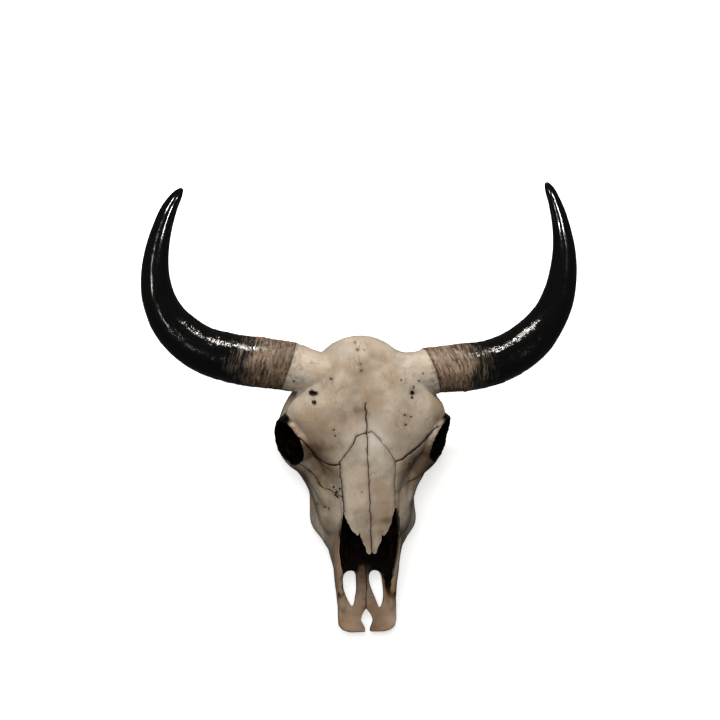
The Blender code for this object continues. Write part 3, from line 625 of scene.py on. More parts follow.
places, normals = mesh_places(bone)
up_facing = ramp(normals[:, 2], 0.05, 0.3) * ramp(places[:, 2], -0.075, -0.060)
rise = 0.00040 * noise(places, 0.034, 1) + 0.00022 * noise(places, 0.013, 2)
rise += 0.00012 * noise(places, 0.0055, 4)
for path, width, depth in (
        (NASAL_MIDLINE, 0.0062, 0.0013), (FRONTAL_MIDLINE, 0.0060, 0.0006),
        (drawn(NASAL_MIDLINE), 0.0012, 0.0008), (drawn(FRONTAL_MIDLINE), 0.0013, 0.0012),
        (drawn(NASAL_RIGHT_EDGE), 0.0014, 0.0008), (drawn(NASAL_LEFT_EDGE), 0.0014, 0.0007),
        (drawn(BROW_LINES["right"]), 0.0016, 0.0011), (drawn(BROW_LINES["left"]), 0.0018, 0.0013)):
    rise -= depth * np.exp(-(off_line(places, np.array(path)) / width) ** 2) * up_facing
for x, y, radius, depth in HOLES:
    span = np.hypot(places[:, 0] - x, places[:, 1] - y) / radius
    rise -= depth * np.clip(1 - span**2, 0, 1) ** 1.5 * up_facing
# Rugged where the horns' sheaths gripped, at the back of the head and over the tooth roots
horn_root = ramp(np.abs(places[:, 0]), 0.102, 0.122) * ramp(places[:, 1], 0.425, 0.440)
nape = ramp(places[:, 1], 0.488, 0.500) * ramp(-places[:, 2], 0.030, 0.060)
rise += (horn_root * 0.0007 + nape * 0.0006) * noise(places, 0.0048, 6)
for side in SIDES.values():
    off, out, across = off_socket(places, side)
    rim = np.exp(-((across - ORBIT_RADIUS - 0.003) / 0.006) ** 2) * ramp(out, -0.020, -0.005)
    rise += rim * (0.0011 * noise(places, 0.0075, 8) + 0.0006 * noise(places, 0.0040, 9))
places += normals * rise[:, None]
places[:, 0] += MUZZLE_LEAN * ramp(-places[:, 1], -0.25, -0.16)
# The cheeks lean the other way, and the right eye socket stands out further
x, y, z = places.T.copy()
places[:, 0] -= 0.0028 * ramp(-z, 0.045, 0.075) * ramp(y, 0.05, 0.10) * ramp(-y, -0.31, -0.27)
places[:, 0] -= 0.0040 * ramp(-x, 0.110, 0.145) * ramp(y, 0.28, 0.31) * ramp(-y, -0.40, -0.35)
move_places(bone, places)

# The bones that the sutures part
# Nasals, lacrimals, cheekbones, upper jaws and premaxillae are bones of their own, held by
# toothed sutures. Each is cut from the mass along its line, which leaves a hairline gap.
SUTURE_GAP = 0.0004
AIR_FROM_SIDE = [(-0.020, -0.070), (0.060, -0.076), (0.112, -0.060), (0.150, -0.047),
                 (0.190, -0.033), (0.216, -0.020), (0.216, 0.050), (-0.020, 0.050)]
# From above, the nose's opening inside its two thin walls
NOSE_OPENING = [(-0.0480, 0.2235), (-0.0507, 0.1973), (-0.0532, 0.1697), (-0.0536, 0.1460),
                (-0.0500, 0.1220), (-0.0453, 0.1046), (-0.0437, 0.0807), (-0.0400, 0.0640),
                (0.0340, 0.0600), (0.0390, 0.0700), (0.0473, 0.1021), (0.0530, 0.1220),
                (0.0564, 0.1432), (0.0591, 0.1828), (0.0560, 0.2050), (0.0490, 0.2260)]
PREMAXILLA_FRONT = [(-0.090, -0.030), (0.090, -0.030), (0.090, 0.108), (0.072, 0.118),
                    (0.066, 0.126), (-0.066, 0.126), (-0.072, 0.118), (-0.090, 0.108)]
PREMAXILLA_STRIP = [(0.040, 0.116), (0.070, 0.116), (0.0680, 0.127), (0.0655, 0.138),
                    (0.0610, 0.165), (0.0520, 0.208), (0.042, 0.212)]
LACRIMAL_LOWER = {
    "right": [(-0.1360, 0.3200), (-0.1240, 0.3091), (-0.1080, 0.2978), (-0.0960, 0.2870),
              (-0.0900, 0.2760), (-0.0866, 0.2681), (-0.0785, 0.2630), (-0.0707, 0.2611),
              (-0.0592, 0.2520), (-0.0500, 0.2475)],
    "left": [(0.1420, 0.3230), (0.1326, 0.3133), (0.1149, 0.2971), (0.0978, 0.2827),
             (0.0826, 0.2741), (0.0700, 0.2700), (0.0580, 0.2600), (0.0454, 0.2480)]}
CHEEKBONE_FROM_SIDE = [(0.254, -0.094), (0.290, -0.084), (0.318, -0.074), (0.340, -0.070),
                       (0.396, -0.070), (0.410, -0.092), (0.422, -0.098), (0.414, -0.135),
                       (0.300, -0.135), (0.262, -0.130)]
JAW_FROM_SIDE = [(0.050, 0.050), (0.252, 0.050), (0.260, -0.090), (0.290, -0.112),
                 (0.352, -0.118), (0.356, -0.250), (0.050, -0.250)]
NASAL_PAIR = NASAL_RIGHT_EDGE + NASAL_RIGHT_TIP + NASAL_LEFT_TIP + NASAL_LEFT_EDGE


def ring_of(path):
    """A closed line drawn with a suture's small bends."""
    return [tuple(p) for p in drawn([*path, path[0]])[:-1]]


def widened(outline, by):
    """An outline with each edge moved out, its corners mitred."""
    points = [np.array(p, float) for p in outline]
    turns = [points[i - 1][0] * p[1] - p[0] * points[i - 1][1] for i, p in enumerate(points)]
    out = []
    for i, point in enumerate(points):
        normals = []
        for a, b in ((points[i - 1], point), (point, points[(i + 1) % len(points)])):
            dx, dy = (b - a) / np.linalg.norm(b - a)
            normals.append(np.array((dy, -dx)) * math.copysign(1.0, sum(turns)))
        mitre = (normals[0] + normals[1]) / max(0.4, 1 + float(normals[0] @ normals[1]))
        out.append(tuple(point + by * mitre))
    return out


def twin_of(piece, name):
    """A copy of a piece."""
    twin = piece.copy()
    twin.data = piece.data.copy()
    twin.name = name
    bpy.context.scene.collection.objects.link(twin)
    return twin


def taken(name, block):
    """The bone inside a block, cut from the mass. block(by) is the block grown by a distance."""
    part = cut(twin_of(bone, name), block(0.0), "INTERSECT")
    cut(bone, block(SUTURE_GAP), "DIFFERENCE")
    return part


def nasal_block(by):
    """Both nasals, down to a floor that rises to the rear."""
    def floor(x, y):
        return -0.038 + 0.10 * (y - 0.142) - by
    return prism("block", widened(ring_of(NASAL_PAIR), by), floor, 0.040)


def premaxilla_block(by):
    """The whole front end, and a shallow strip up each edge of the nose's opening."""
    def floor(x, y):
        return -0.092 + 0.25 * (y - 0.126) - by
    block = prism("block", widened(PREMAXILLA_FRONT, 0.1 * by), -0.200, 0.040)
    for side in SIDES.values():
        strip = widened(ring_of(on_side(PREMAXILLA_STRIP, side)), by)
        cut(block, prism("strip", strip, floor, 0.040), "UNION")
    return block


def lacrimal_block(word, by):
    """One lacrimal, between the brow's line and the cheek's."""
    def floor(x, y):
        return -0.034 - 0.80 * (abs(x) - 0.050) - by
    lower, upper = LACRIMAL_LOWER[word], BROW_LINES[word]
    inner = (0.0500 if word == "left" else -0.0500, 0.2800)
    outer = (0.1480 if word == "left" else -0.1440, 0.3420)
    outline = ring_of([*lower, inner, *upper, outer])
    return prism("block", widened(outline, by), floor, 0.040)


def cheekbone_block(side, by):
    """One cheekbone, out from the side of the face."""
    outline = widened(ring_of(CHEEKBONE_FROM_SIDE), by)
    return prism("block", outline, (0.0785 - by) * side, 0.190 * side, axis="x")


def jaw_block(by):
    """Both upper jaws, from the muzzle to below the eyes."""
    return prism("block", widened(ring_of(JAW_FROM_SIDE), by), -0.190, 0.190, axis="x")


def halves(pair, name, midline):
    """The two bones of a pair by name, parted along a line drawn from below it to above it."""
    out = {}
    for word, side in SIDES.items():
        inner = [(x + 0.5 * SUTURE_GAP * side, y) for x, y in midline]
        outline = [*inner, (side, inner[-1][1]), (side, inner[0][1])]
        half = prism("half", outline, -1, 1)
        out[f"{name}_{word}"] = cut(twin_of(pair, f"{name}_{word}"), half, "INTERSECT")
    bpy.data.objects.remove(pair)
    return out


def largest_only(piece):
    """Drops the crumbs that a cut can leave beside a bone."""
    mesh = bmesh.new()
    mesh.from_mesh(piece.data)
    left, best = set(mesh.faces), set()
    while left:
        stack = [left.pop()]
        body = set(stack)
        while stack:
            for edge in stack.pop().edges:
                for face in edge.link_faces:
                    if face not in body:
                        body.add(face)
                        stack.append(face)
        left -= body
        if len(body) > len(best):
            best = body
    crumbs = [face for face in mesh.faces if face not in best]
    bmesh.ops.delete(mesh, geom=crumbs, context="FACES")
    mesh.to_mesh(piece.data)
    mesh.free()
    return piece


pieces = {}
midline = [tuple(p) for p in drawn([(0.0032, 0.0), *reversed(NASAL_MIDLINE), (-0.006, 0.4)])]
pieces.update(halves(taken("pair", nasal_block), "nasal", midline))
cut(bone, prism("air", AIR_FROM_SIDE, -0.120, 0.120, axis="x"), "DIFFERENCE")
opening = prism("opening", NOSE_OPENING, lambda x, y: -0.0880 - 0.09 * (y - 0.060), 0.050)
opening_wall = wall_of(opening)
cut(bone, opening, "DIFFERENCE")
PALATE_MIDLINE = [(-0.0003, 0.0392), (0.0004, 0.0743), (0.0010, 0.1063), (0.0013, 0.1260)]
palate_line = [(-0.0003, -1.0), *PALATE_MIDLINE, (0.0, 0.200), (0.0, 1.0)]
pieces.update(halves(taken("pair", premaxilla_block), "premaxilla", palate_line))
for word, side in SIDES.items():
    pieces[f"lacrimal_{word}"] = taken(
        f"lacrimal_{word}", lambda by, word=word: lacrimal_block(word, by))
    pieces[f"zygomatic_{word}"] = taken(
        f"zygomatic_{word}", lambda by, side=side: cheekbone_block(side, by))
pieces.update(halves(taken("pair", jaw_block), "maxilla", palate_line))
pieces["cranium"] = bone

# The look of the bone
# Old dry bone is warm beige where it is rubbed smooth, grey where it has weathered and brown
# where skin and earth clung; more brown down the face's sides is painted shade, and a pale spot on
# the nasal root is a painted highlight. Sutures, pits and rims hold dark earth, with painted shade
# in the dips and pits; the hollows are painted black inside as painted shade.
# How far from a cut hollow's wall its painted black shade reaches
HOLLOW_SHADE_REACH = 0.0032
NOTHING_NEAR = (9.0, 9.0, 0.0)


def linear(colour):
    """An sRGB hex colour as linear RGBA."""
    parts = [int(colour[i : i + 2], 16) / 255 for i in (1, 3, 5)]
    return (*[p / 12.92 if p <= 0.04045 else ((p + 0.055) / 1.055) ** 2.4 for p in parts], 1.0)


def add(tree, kind, inputs, **settings):
    """Adds a shader node. An input is a value, or another node's output to link."""
    made = tree.nodes.new("ShaderNode" + kind)
    for name, value in settings.items():
        setattr(made, name, value)
    for key, value in inputs.items():
        if isinstance(value, bpy.types.NodeSocket):
            tree.links.new(value, made.inputs[key])
        else:
            made.inputs[key].default_value = value
    return made


def bare_material(name):
    """A new material, its nodes and its shader."""
    material = bpy.data.materials.new(name)
    material.use_nodes = True
    return material, material.node_tree, material.node_tree.nodes["Principled BSDF"]


def noted(tree, key, kind="Fac"):
    """A value kept on the mesh."""
    return add(tree, "Attribute", {}, attribute_name=key).outputs[kind]


def cloud(tree, at, scale, detail, rough=0.5, kind="Fac"):
    """Noise with scale swells to the metre."""
    return add(tree, "TexNoise", {"Vector": at, "Scale": scale, "Detail": detail,
                                  "Roughness": rough}).outputs[kind]


def stretch(tree, at, scale):
    """Coordinates scaled along each axis."""
    return add(tree, "Mapping", {"Vector": at, "Scale": scale}).outputs[0]


def fit(tree, value, low, high, start=0.0, end=1.0, kind="LINEAR"):
    """Takes low to start and high to end, and holds there."""
    return add(tree, "MapRange", {0: value, 1: low, 2: high, 3: start, 4: end},
               interpolation_type=kind).outputs[0]


def reckon(tree, kind, *values):
    """A sum on values and nodes' outputs."""
    return add(tree, "Math", dict(enumerate(values)), operation=kind).outputs[0]


def blend(tree, amount, under, over, kind="MIX"):
    """Lays one colour over another. A colour is a hex code or a node's output."""
    under, over = (linear(c) if isinstance(c, str) else c for c in (under, over))
    return add(tree, "Mix", {0: amount, 6: under, 7: over}, data_type="RGBA",
               blend_type=kind).outputs[2]


def dent(tree, shader, height, depth, strength=0.8):
    """Shades the surface as if a height stood up from it by a depth in metres."""
    bump = add(tree, "Bump", {"Height": height, "Strength": strength, "Distance": depth})
    tree.links.new(bump.outputs[0], shader.inputs["Normal"])


def bone_material(name, pale, tan, grey, brown):
    """Weathered bone: cloudy colour, fine pores, earth and painted shade in what is low, and painted
    black shade in the hollows.
    """
    material, tree, shader = bare_material(name)
    at = add(tree, "TexCoord", {}).outputs["Object"]
    soil_and_shade, hollow_shade, stain_and_shade, wear_and_sheen = (noted(tree, key) for key in ("soil_and_shade", "hollow_shade", "stain_and_shade", "wear_and_sheen"))
    # Clouds 60 mm wide, veils of 30 mm, blotches of 14 mm, grain of 2 mm
    clouds = cloud(tree, at, 17.0, 3.0)
    veils = cloud(tree, at, 31.0, 3.0, kind="Color")
    veil = add(tree, "SeparateColor", {0: veils}).outputs
    blotches = cloud(tree, at, 72.0, 6.0, 0.66)
    grain = cloud(tree, at, 480.0, 3.0, 0.6)
    colour = blend(tree, fit(tree, clouds, 0.38, 0.64, kind="SMOOTHSTEP"), pale, tan)
    greyed = fit(tree, veil[1], 0.46, 0.70, 0.0, 0.8, "SMOOTHSTEP")
    colour = blend(tree, greyed, colour, grey)
    colour = blend(tree, 1.0, colour, fit(tree, blotches, 0.30, 0.70, 0.90, 1.07), "MULTIPLY")
    colour = blend(tree, 1.0, colour, fit(tree, grain, 0.30, 0.70, 0.93, 1.05), "MULTIPLY")
    # Rims and ridges are rubbed pale and a painted highlight pales the nasal root; brown lies where
    # skin clung, and down the face's sides as painted shade
    colour = blend(tree, wear_and_sheen, colour, "#ddd6cb")
    colour = blend(tree, stain_and_shade, colour, brown)
    # Fine drying cracks 12 mm apart that run along the skull, only where a veil lies
    bent = add(tree, "Mix", {0: 0.012, 4: at, 5: veils}, data_type="VECTOR").outputs[1]
    crack_at = stretch(tree, bent, (85.0, 26.0, 60.0))
    crack = add(tree, "TexVoronoi", {"Vector": crack_at, "Scale": 1.0},
                feature="DISTANCE_TO_EDGE").outputs["Distance"]
    crack = fit(tree, crack, 0.0, 0.035, 0.42, 0.0)
    crack = reckon(tree, "MULTIPLY", crack, fit(tree, veil[0], 0.50, 0.62))
    colour = blend(tree, crack, colour, "#4a3626")
    # Pores under 1 mm wide, coarser than real ones so that they show, in scattered fields
    pores = add(tree, "TexVoronoi", {"Vector": at, "Scale": 300.0}).outputs["Distance"]
    reach = fit(tree, cloud(tree, at, 34.0, 3.0), 0.50, 0.80, 0.0, 0.30)
    pore = fit(tree, reckon(tree, "SUBTRACT", reach, pores), 0.0, 0.10)
    colour = blend(tree, reckon(tree, "MULTIPLY", pore, 0.5), colour, "#4a3524")
    # Earth, and painted shade in the dips, under the muzzle's rim and by the horns' burrs
    colour = blend(tree, soil_and_shade, colour, "#2a190e")
    # A suture is a dark line of uneven width: across it in half widths, the gap in mm, its depth
    uneven = fit(tree, cloud(tree, at, 290.0, 4.0, 0.7), 0.2, 0.8, -1.0, 1.0)
    seam = add(tree, "SeparateXYZ", {0: noted(tree, "line", "Vector")}).outputs
    aside = reckon(tree, "ABSOLUTE", reckon(tree, "MULTIPLY_ADD", uneven, 0.7, seam[0]))
    dark = fit(tree, aside, 0.70, 1.35, 1.0, 0.0, "SMOOTHSTEP")
    dark = reckon(tree, "MULTIPLY", dark, fit(tree, seam[1], 1.6, 2.6, 1.0, 0.0))
    dark = reckon(tree, "MULTIPLY", dark, seam[2])
    # A pit is round but frayed: off its middle in radii, and its depth
    hole = add(tree, "SeparateXYZ", {0: noted(tree, "pit", "Vector")}).outputs
    flat = add(tree, "CombineXYZ", {0: hole[0], 1: hole[1]}).outputs[0]
    reach = add(tree, "VectorMath", {0: flat}, operation="LENGTH").outputs["Value"]
    reach = reckon(tree, "MULTIPLY_ADD", uneven, 0.8, reach)
    # A pit is painted darker the deeper it is, as painted shade in the hole
    hole_dark = reckon(tree, "MULTIPLY", fit(tree, reach, 0.70, 1.20, 1.0, 0.0), hole[2])
    dark = reckon(tree, "MAXIMUM", dark, hole_dark)
    colour = blend(tree, dark, colour, "#1a0e07")
    # The hollows are painted black inside, as painted shade, lumpy and wet-looking
    inside = blend(tree, fit(tree, blotches, 0.50, 0.66), "#060302", "#1d0e08")
    colour = blend(tree, hollow_shade, colour, inside)
    tree.links.new(colour, shader.inputs["Base Color"])
    satin = fit(tree, blotches, 0.3, 0.7, 0.40, 0.56)
    for key, dry, wet in (("Roughness", satin, 0.12), ("Specular IOR Level", 0.50, 0.30)):
        value = add(tree, "Mix", {0: hollow_shade, 2: dry, 3: wet}).outputs[0]
        tree.links.new(value, shader.inputs[key])
    height = reckon(tree, "MULTIPLY", pore, -1.2)
    lump = reckon(tree, "MULTIPLY", veil[2], hollow_shade)
    for value, rise in ((dark, -2.5), (crack, -2.0), (grain, 1.0), (blotches, 1.6), (lump, 14.0)):
        height = reckon(tree, "MULTIPLY_ADD", value, rise, height)
    dent(tree, shader, height, 0.0005)
    return material


BONE = bone_material("weathered_bone", "#bbad9c", "#a4907a", "#a1978b", "#5f4935")
MUZZLE_BONE = bone_material("muzzle_bone", "#bca68f", "#a5876a", "#a19486", "#7c5535")


def mark(piece, name, values):
    """Keeps a value from 0 to 1 on each vertex, or three of any size."""
    if values.ndim == 2:
        layer = piece.data.attributes.new(name, "FLOAT_VECTOR", "POINT")
        layer.data.foreach_set("vector", values.astype(np.float32).ravel())
    else:
        layer = piece.data.attributes.new(name, "FLOAT", "POINT")
        layer.data.foreach_set("value", np.clip(values, 0, 1).astype(np.float32))


def bends(piece, places, normals):
    """How hollow the surface is round each vertex: above 0 in a dip, below 0 on a ridge."""
    edges = np.empty(len(piece.data.edges) * 2, np.int64)
    piece.data.edges.foreach_get("vertices", edges)
    a, b = edges.reshape(-1, 2).T
    total, count = np.zeros(len(places)), np.zeros(len(places))
    for near, far in ((a, b), (b, a)):
        step = places[far] - places[near]
        reach = np.maximum(np.linalg.norm(step, axis=1), 1e-6)
        np.add.at(total, near, np.einsum("ij,ij->i", step, normals[near]) / reach)
        np.add.at(count, near, 1)
    value = total / np.maximum(count, 1)
    for _ in range(6):
        spread, weight = value.copy(), np.ones(len(places))
        np.add.at(spread, a, value[b])
        np.add.at(spread, b, value[a])
        np.add.at(weight, a, 1)
        np.add.at(weight, b, 1)
        value = spread / weight
    return value


def near_walls(places, walls, reach):
    """1 where a place lies on one of the cut hollows' walls, falling to 0 at reach."""
    found = np.zeros(len(places))
    for tree, low, high in walls:
        close = ((places > low - reach) & (places < high + reach)).all(axis=1)
        for i in np.flatnonzero(close):
            hit = tree.find_nearest(places[i], reach)
            if hit[0] is not None:
                found[i] = max(found[i], 1 - hit[3] / reach)
    return found


def weather(piece):
    """Marks where earth and painted shade, the hollows' painted black shade, brown stain and painted
    shade, wear and a painted highlight lie on one bone.
    """
    places, normals = mesh_places(piece)
    x, y, z = places.T
    up_facing = ramp(normals[:, 2], 0.0, 0.25) * ramp(z, -0.085, -0.070)
    soil_and_shade = np.zeros(len(places))
    patchy = np.clip(0.62 + 0.55 * noise(places, 0.012, 21) + 0.35 * noise(places, 0.004, 22), 0, 1)
    outward = ramp(normals[:, 2], -0.2, 0.1) * (0.55 + 0.45 * patchy)
    faint = outward * (1 - 0.8 * ramp(x, 0.020, 0.046) * (1 - ramp(x, 0.064, 0.074)))
    # Half width of each dark line, how dark it is, and where it shows
    lines = [
        (NASAL_MIDLINE, 0.0008, 1.0, up_facing), (FRONTAL_MIDLINE, 0.0011, 1.0, up_facing),
        (NASAL_RIGHT_EDGE, 0.0008, 1.0, up_facing), (NASAL_LEFT_EDGE, 0.0005, 0.8, up_facing),
        (BROW_LINES["right"], 0.0011, 1.0, up_facing),
        (BROW_LINES["left"], 0.0017, 1.0, up_facing),
        (LACRIMAL_LOWER["right"], 0.0010, 1.0, faint),
        (LACRIMAL_LOWER["left"], 0.0009, 1.0, faint),
        (PALATE_MIDLINE, 0.0008, 1.0, ramp(normals[:, 2], 0.0, 0.4))]
    seam = np.tile(NOTHING_NEAR, (len(places), 1))
    for path, half, strength, where in lines:
        gap = off_line(places, drawn(path))
        near = np.abs(gap) * 1000 < seam[:, 1]
        shown = strength * where * (0.72 + 0.28 * patchy)
        found = np.column_stack([gap / half, np.abs(gap) * 1000, shown])
        seam[near] = found[near]
        soil_and_shade = np.maximum(soil_and_shade, 0.42 * patchy * np.exp(-(gap / 0.0042) ** 2) * where)
    pit = np.tile(NOTHING_NEAR, (len(places), 1))
    on_cheek = ramp(normals[:, 2], 0.0, 0.25) * ramp(z, -0.112, -0.100) * ramp(y, 0.13, 0.15)
    # Each pit is painted darker the deeper it is, as painted shade in the hole, and earth rings it
    for hole_x, hole_y, radius, depth in HOLES:
        off = np.column_stack([x - hole_x, y - hole_y, np.zeros(len(x))]) / (1.1 * radius)
        near = np.linalg.norm(off, axis=1) < np.linalg.norm(pit[:, :2], axis=1)
        off[:, 2] = np.maximum(up_facing, on_cheek) * min(0.35 + depth / 0.0030, 1.0)
        pit[near] = off[near]
        span = np.linalg.norm(off[:, :2], axis=1)
        soil_and_shade = np.maximum(soil_and_shade, 0.38 * patchy * np.exp(-(span / 2.2) ** 2) * up_facing)
    root = ramp(np.abs(x), 0.108, 0.124) * ramp(y, 0.425, 0.440)
    soil_and_shade = np.maximum(soil_and_shade, root * ramp(noise(places, 0.006, 23), -0.2, 0.7) * 0.25)
    # Right by each burr the bone is darker: painted shade under the sheath's lip, with earth
    for spot, way in BURRS:
        edge = 1 - ramp((spot - places) @ way, 0.0005, 0.0034)
        soil_and_shade = np.maximum(soil_and_shade, (places[:, 0] * way[0] > 0) * edge * (0.2 + 0.4 * patchy))
    # Under the rounded front rim of the muzzle, where the bone turns down and away, it is darker:
    # painted shade with some earth
    rim = ramp(-y, -0.020, 0.000) * (1 - ramp(normals[:, 2], 0.25, 0.85)) * (z > -0.13)
    soil_and_shade = np.maximum(soil_and_shade, 0.65 * rim * patchy)
    strip = ramp(y, 0.045, 0.112) * (np.abs(x + 0.002) < 0.016) * (z < -0.080)
    soil_and_shade = np.maximum(soil_and_shade, strip * (0.65 + 0.35 * patchy))
    # The dips of the surface are darkened as painted shade
    hollow = bends(piece, places, normals)
    soil_and_shade = np.maximum(soil_and_shade, 0.55 * ramp(hollow, 0.05, 0.22))
    # The cut hollows' walls and the nose's floor are painted black, as painted shade
    hollow_shade = ramp(near_walls(places, hollow_shade_walls, HOLLOW_SHADE_REACH), 0.1, 0.5)
    wall = ramp(near_walls(places, [opening_wall], HOLLOW_SHADE_REACH), 0.1, 0.5)
    wall *= np.where(z < -0.076, 1.0, 1 - ramp(normals[:, 2], 0.35, 0.75))
    hollow_shade = np.maximum(hollow_shade, wall)
    floor = ramp(-z, 0.078, 0.084) * ramp(normals[:, 2], -0.1, 0.2) * (np.abs(x) < 0.053)
    hollow_shade = np.maximum(hollow_shade, floor * (y < 0.24))
    # The black ends in a line across the palate that runs forward along both walls
    front = np.interp(x, (-0.048, -0.042, -0.036, -0.018, -0.014, 0.009, 0.012, 0.031, 0.037, 0.048),
                      (0.064, 0.074, 0.100, 0.102, 0.115, 0.115, 0.102, 0.098, 0.070, 0.060))
    hollow_shade *= ramp(y + 0.003 * noise(places, 0.007, 30), front - 0.009, front + 0.009)
    # Round the eye sockets the edges are not paled, and the painted black shade laps over the outer
    # rim
    unworn = np.ones(len(places))
    for side in SIDES.values():
        off, depth, across = off_socket(places, side)
        facing = np.array(eye_socket(side)[1])
        outer = np.array((side, 0, 0)) - facing * (facing[0] * side)
        outer = outer / np.linalg.norm(outer)
        lip = 1 - ramp(across + 0.003 * noise(places, 0.009, 29),
                       ORBIT_RADIUS + 0.007, ORBIT_RADIUS + 0.013)
        lip *= ramp(depth, -0.024, -0.012)
        hollow_shade = np.maximum(hollow_shade, lip * ramp(off @ outer, 0.000, 0.014))
        unworn *= 1 - np.exp(-((across - ORBIT_RADIUS - 0.004) / 0.012) ** 2) * (depth > -0.03)
    clouds = noise(places, 0.030, 25) * 0.5 + noise(places, 0.011, 27) * 0.3
    # Brown deepens down the face's sides as painted shade and over the muzzle's front as stain; the
    # spots are stain, those before the eye sockets also painted shade
    stain_and_shade = 0.32 * ramp(-z, 0.060, 0.115) + 0.25 * ramp(-y, -0.140, -0.060)
    for spot_x, spot_y, spread, strength in (
            (-0.022, 0.424, 0.022, 0.55), (0.004, 0.505, 0.030, 0.45), (-0.012, 0.470, 0.020, 0.3),
            (0.030, 0.200, 0.020, 0.35), (-0.085, 0.360, 0.030, 0.35), (0.106, 0.310, 0.036, 1.3),
            (-0.096, 0.312, 0.034, 1.4), (0.098, 0.268, 0.030, 1.2), (-0.050, 0.012, 0.016, 0.5),
            (0.000, 0.190, 0.034, 0.55), (-0.030, 0.395, 0.042, 0.3),
            (-0.133, 0.370, 0.016, 1.0), (0.134, 0.378, 0.014, 0.8)):
        stain_and_shade += strength * np.exp(-((x - spot_x) ** 2 + (y - spot_y) ** 2) / spread**2)
    stain_and_shade = stain_and_shade * (0.75 + clouds) + 0.25 * ramp(clouds, 0.1, 0.6)
    mark(piece, "line", seam)
    mark(piece, "pit", pit)
    mark(piece, "soil_and_shade", soil_and_shade)
    mark(piece, "hollow_shade", hollow_shade)
    mark(piece, "stain_and_shade", 0.85 * np.clip(stain_and_shade, 0, 1))
    # A pale spot on the nasal root is a painted highlight, and the horns' roots are rubbed pale
    pale = np.exp(-(((x - 0.004) / 0.034) ** 2 + ((y - 0.352) / 0.030) ** 2))
    wear_and_sheen = 0.55 * unworn * ramp(-hollow, 0.03, 0.16) * (1 - np.clip(stain_and_shade, 0, 1))
    rubbed_root = 0.20 * ramp(np.abs(x), 0.070, 0.110) * ramp(y, 0.420, 0.450)
    pale = np.maximum(pale, rubbed_root)
    mark(piece, "wear_and_sheen", np.maximum(wear_and_sheen, pale * (0.8 + 0.6 * clouds)))


# The turn and shift that lay the skull's own frame on the solids
LAID = (Matrix.Translation((0.002711, -0.408917, 0.122167))
        @ Euler((BASE_PITCH, 0, 0)).to_matrix().to_4x4())

SMOOTH_BELOW = math.radians(48)


def laid(piece):
    """Lays a piece where its solid is, and keeps it inside the solids' box."""
    piece.data.transform(LAID)
    places, _ = mesh_places(piece)
    move_places(piece, np.clip(places, np.array(cad_box[0]), np.array(cad_box[1])))
    alone(piece)
    bpy.ops.object.shade_smooth_by_angle(angle=SMOOTH_BELOW)
    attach(piece, "root")
    return piece


# Each horn's middle and half its thickness across and up, from the skull to the tip
HORN_PATHS = {
    "right": [
        (0.1385, 0.4862, -0.0622, 0.0448, 0.0432),
        (0.1750, 0.4915, -0.0665, 0.0462, 0.0445),
        (0.2410, 0.5022, -0.0725, 0.0456, 0.0438),
        (0.2995, 0.5222, -0.0755, 0.0425, 0.0410),
        (0.3497, 0.5655, -0.0740, 0.0368, 0.0340),
        (0.3708, 0.6046, -0.0690, 0.0318, 0.0290),
        (0.3786, 0.6468, -0.0610, 0.0270, 0.0246),
        (0.3764, 0.6901, -0.0500, 0.0226, 0.0206),
        (0.3668, 0.7331, -0.0360, 0.0184, 0.0168),
        (0.3499, 0.7762, -0.0190, 0.0134, 0.0124),
        (0.3338, 0.7998, -0.0068, 0.0064, 0.0060),
        (0.3300, 0.8046, -0.0044, 0.0030, 0.0028)],
    "left": [
        (0.1225, 0.4748, -0.0602, 0.0425, 0.0425),
        (0.1750, 0.4790, -0.0665, 0.0445, 0.0445),
        (0.2410, 0.4890, -0.0725, 0.0432, 0.0438),
        (0.2985, 0.5170, -0.0755, 0.0410, 0.0410),
        (0.3446, 0.5632, -0.0740, 0.0352, 0.0338),
        (0.3647, 0.6028, -0.0690, 0.0312, 0.0290),
        (0.3740, 0.6447, -0.0610, 0.0270, 0.0246),
        (0.3752, 0.6885, -0.0500, 0.0222, 0.0204),
        (0.3678, 0.7335, -0.0360, 0.0172, 0.0158),
        (0.3522, 0.7795, -0.0190, 0.0122, 0.0112),
        (0.3362, 0.8096, -0.0068, 0.0060, 0.0056),
        (0.3326, 0.8146, -0.0044, 0.0028, 0.0027)]}
# The line where bone meets sheath leans back over the horn by this angle
BURR_LEAN = math.radians(18.5)
BURR_GAP = 0.00015
TRIM_LENGTH, TRIM_RADIUS = 0.080, 0.062
BURRS = []


def burr_axis(side):
    """The way out of the skull, square to the line where bone meets sheath."""
    return Vector((math.cos(BURR_LEAN) * side, math.sin(BURR_LEAN), -0.06)).normalized()


for word, side in SIDES.items():
    root = Vector((HORN_PATHS[word][0][0] * side, *HORN_PATHS[word][0][1:3]))
    axis = burr_axis(side)
    start = root - axis * BURR_GAP
    BURRS.append((np.array(start), np.array(axis)))
    trim = spool("trim", start, start + axis * TRIM_LENGTH, TRIM_RADIUS, TRIM_RADIUS)
    cut(pieces["cranium"], trim, "DIFFERENCE")

for name, piece in pieces.items():
    largest_only(piece)
    piece.name = name + "_bone"
    weather(piece)
    muzzle = name.startswith("premaxilla")
    piece.data.materials.clear()
    piece.data.materials.append(MUZZLE_BONE if muzzle else BONE)
    laid(piece)
    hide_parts(name)

# The cheek teeth
# Six high-crowned grinders a side, ivory enamel folded round brown dentine, worn flat by
# grazing and stained at the gum. Each is a lobed ring drawn up to its root in the jaw.
TOOTH_ROW = [
    (0.1800, 0.0150, 0.0150), (0.1975, 0.0190, 0.0185), (0.2170, 0.0220, 0.0190),
    (0.2400, 0.0255, 0.0255), (0.2690, 0.0275, 0.0300), (0.3010, 0.0270, 0.0320)]
TOOTH_POINTS = 40


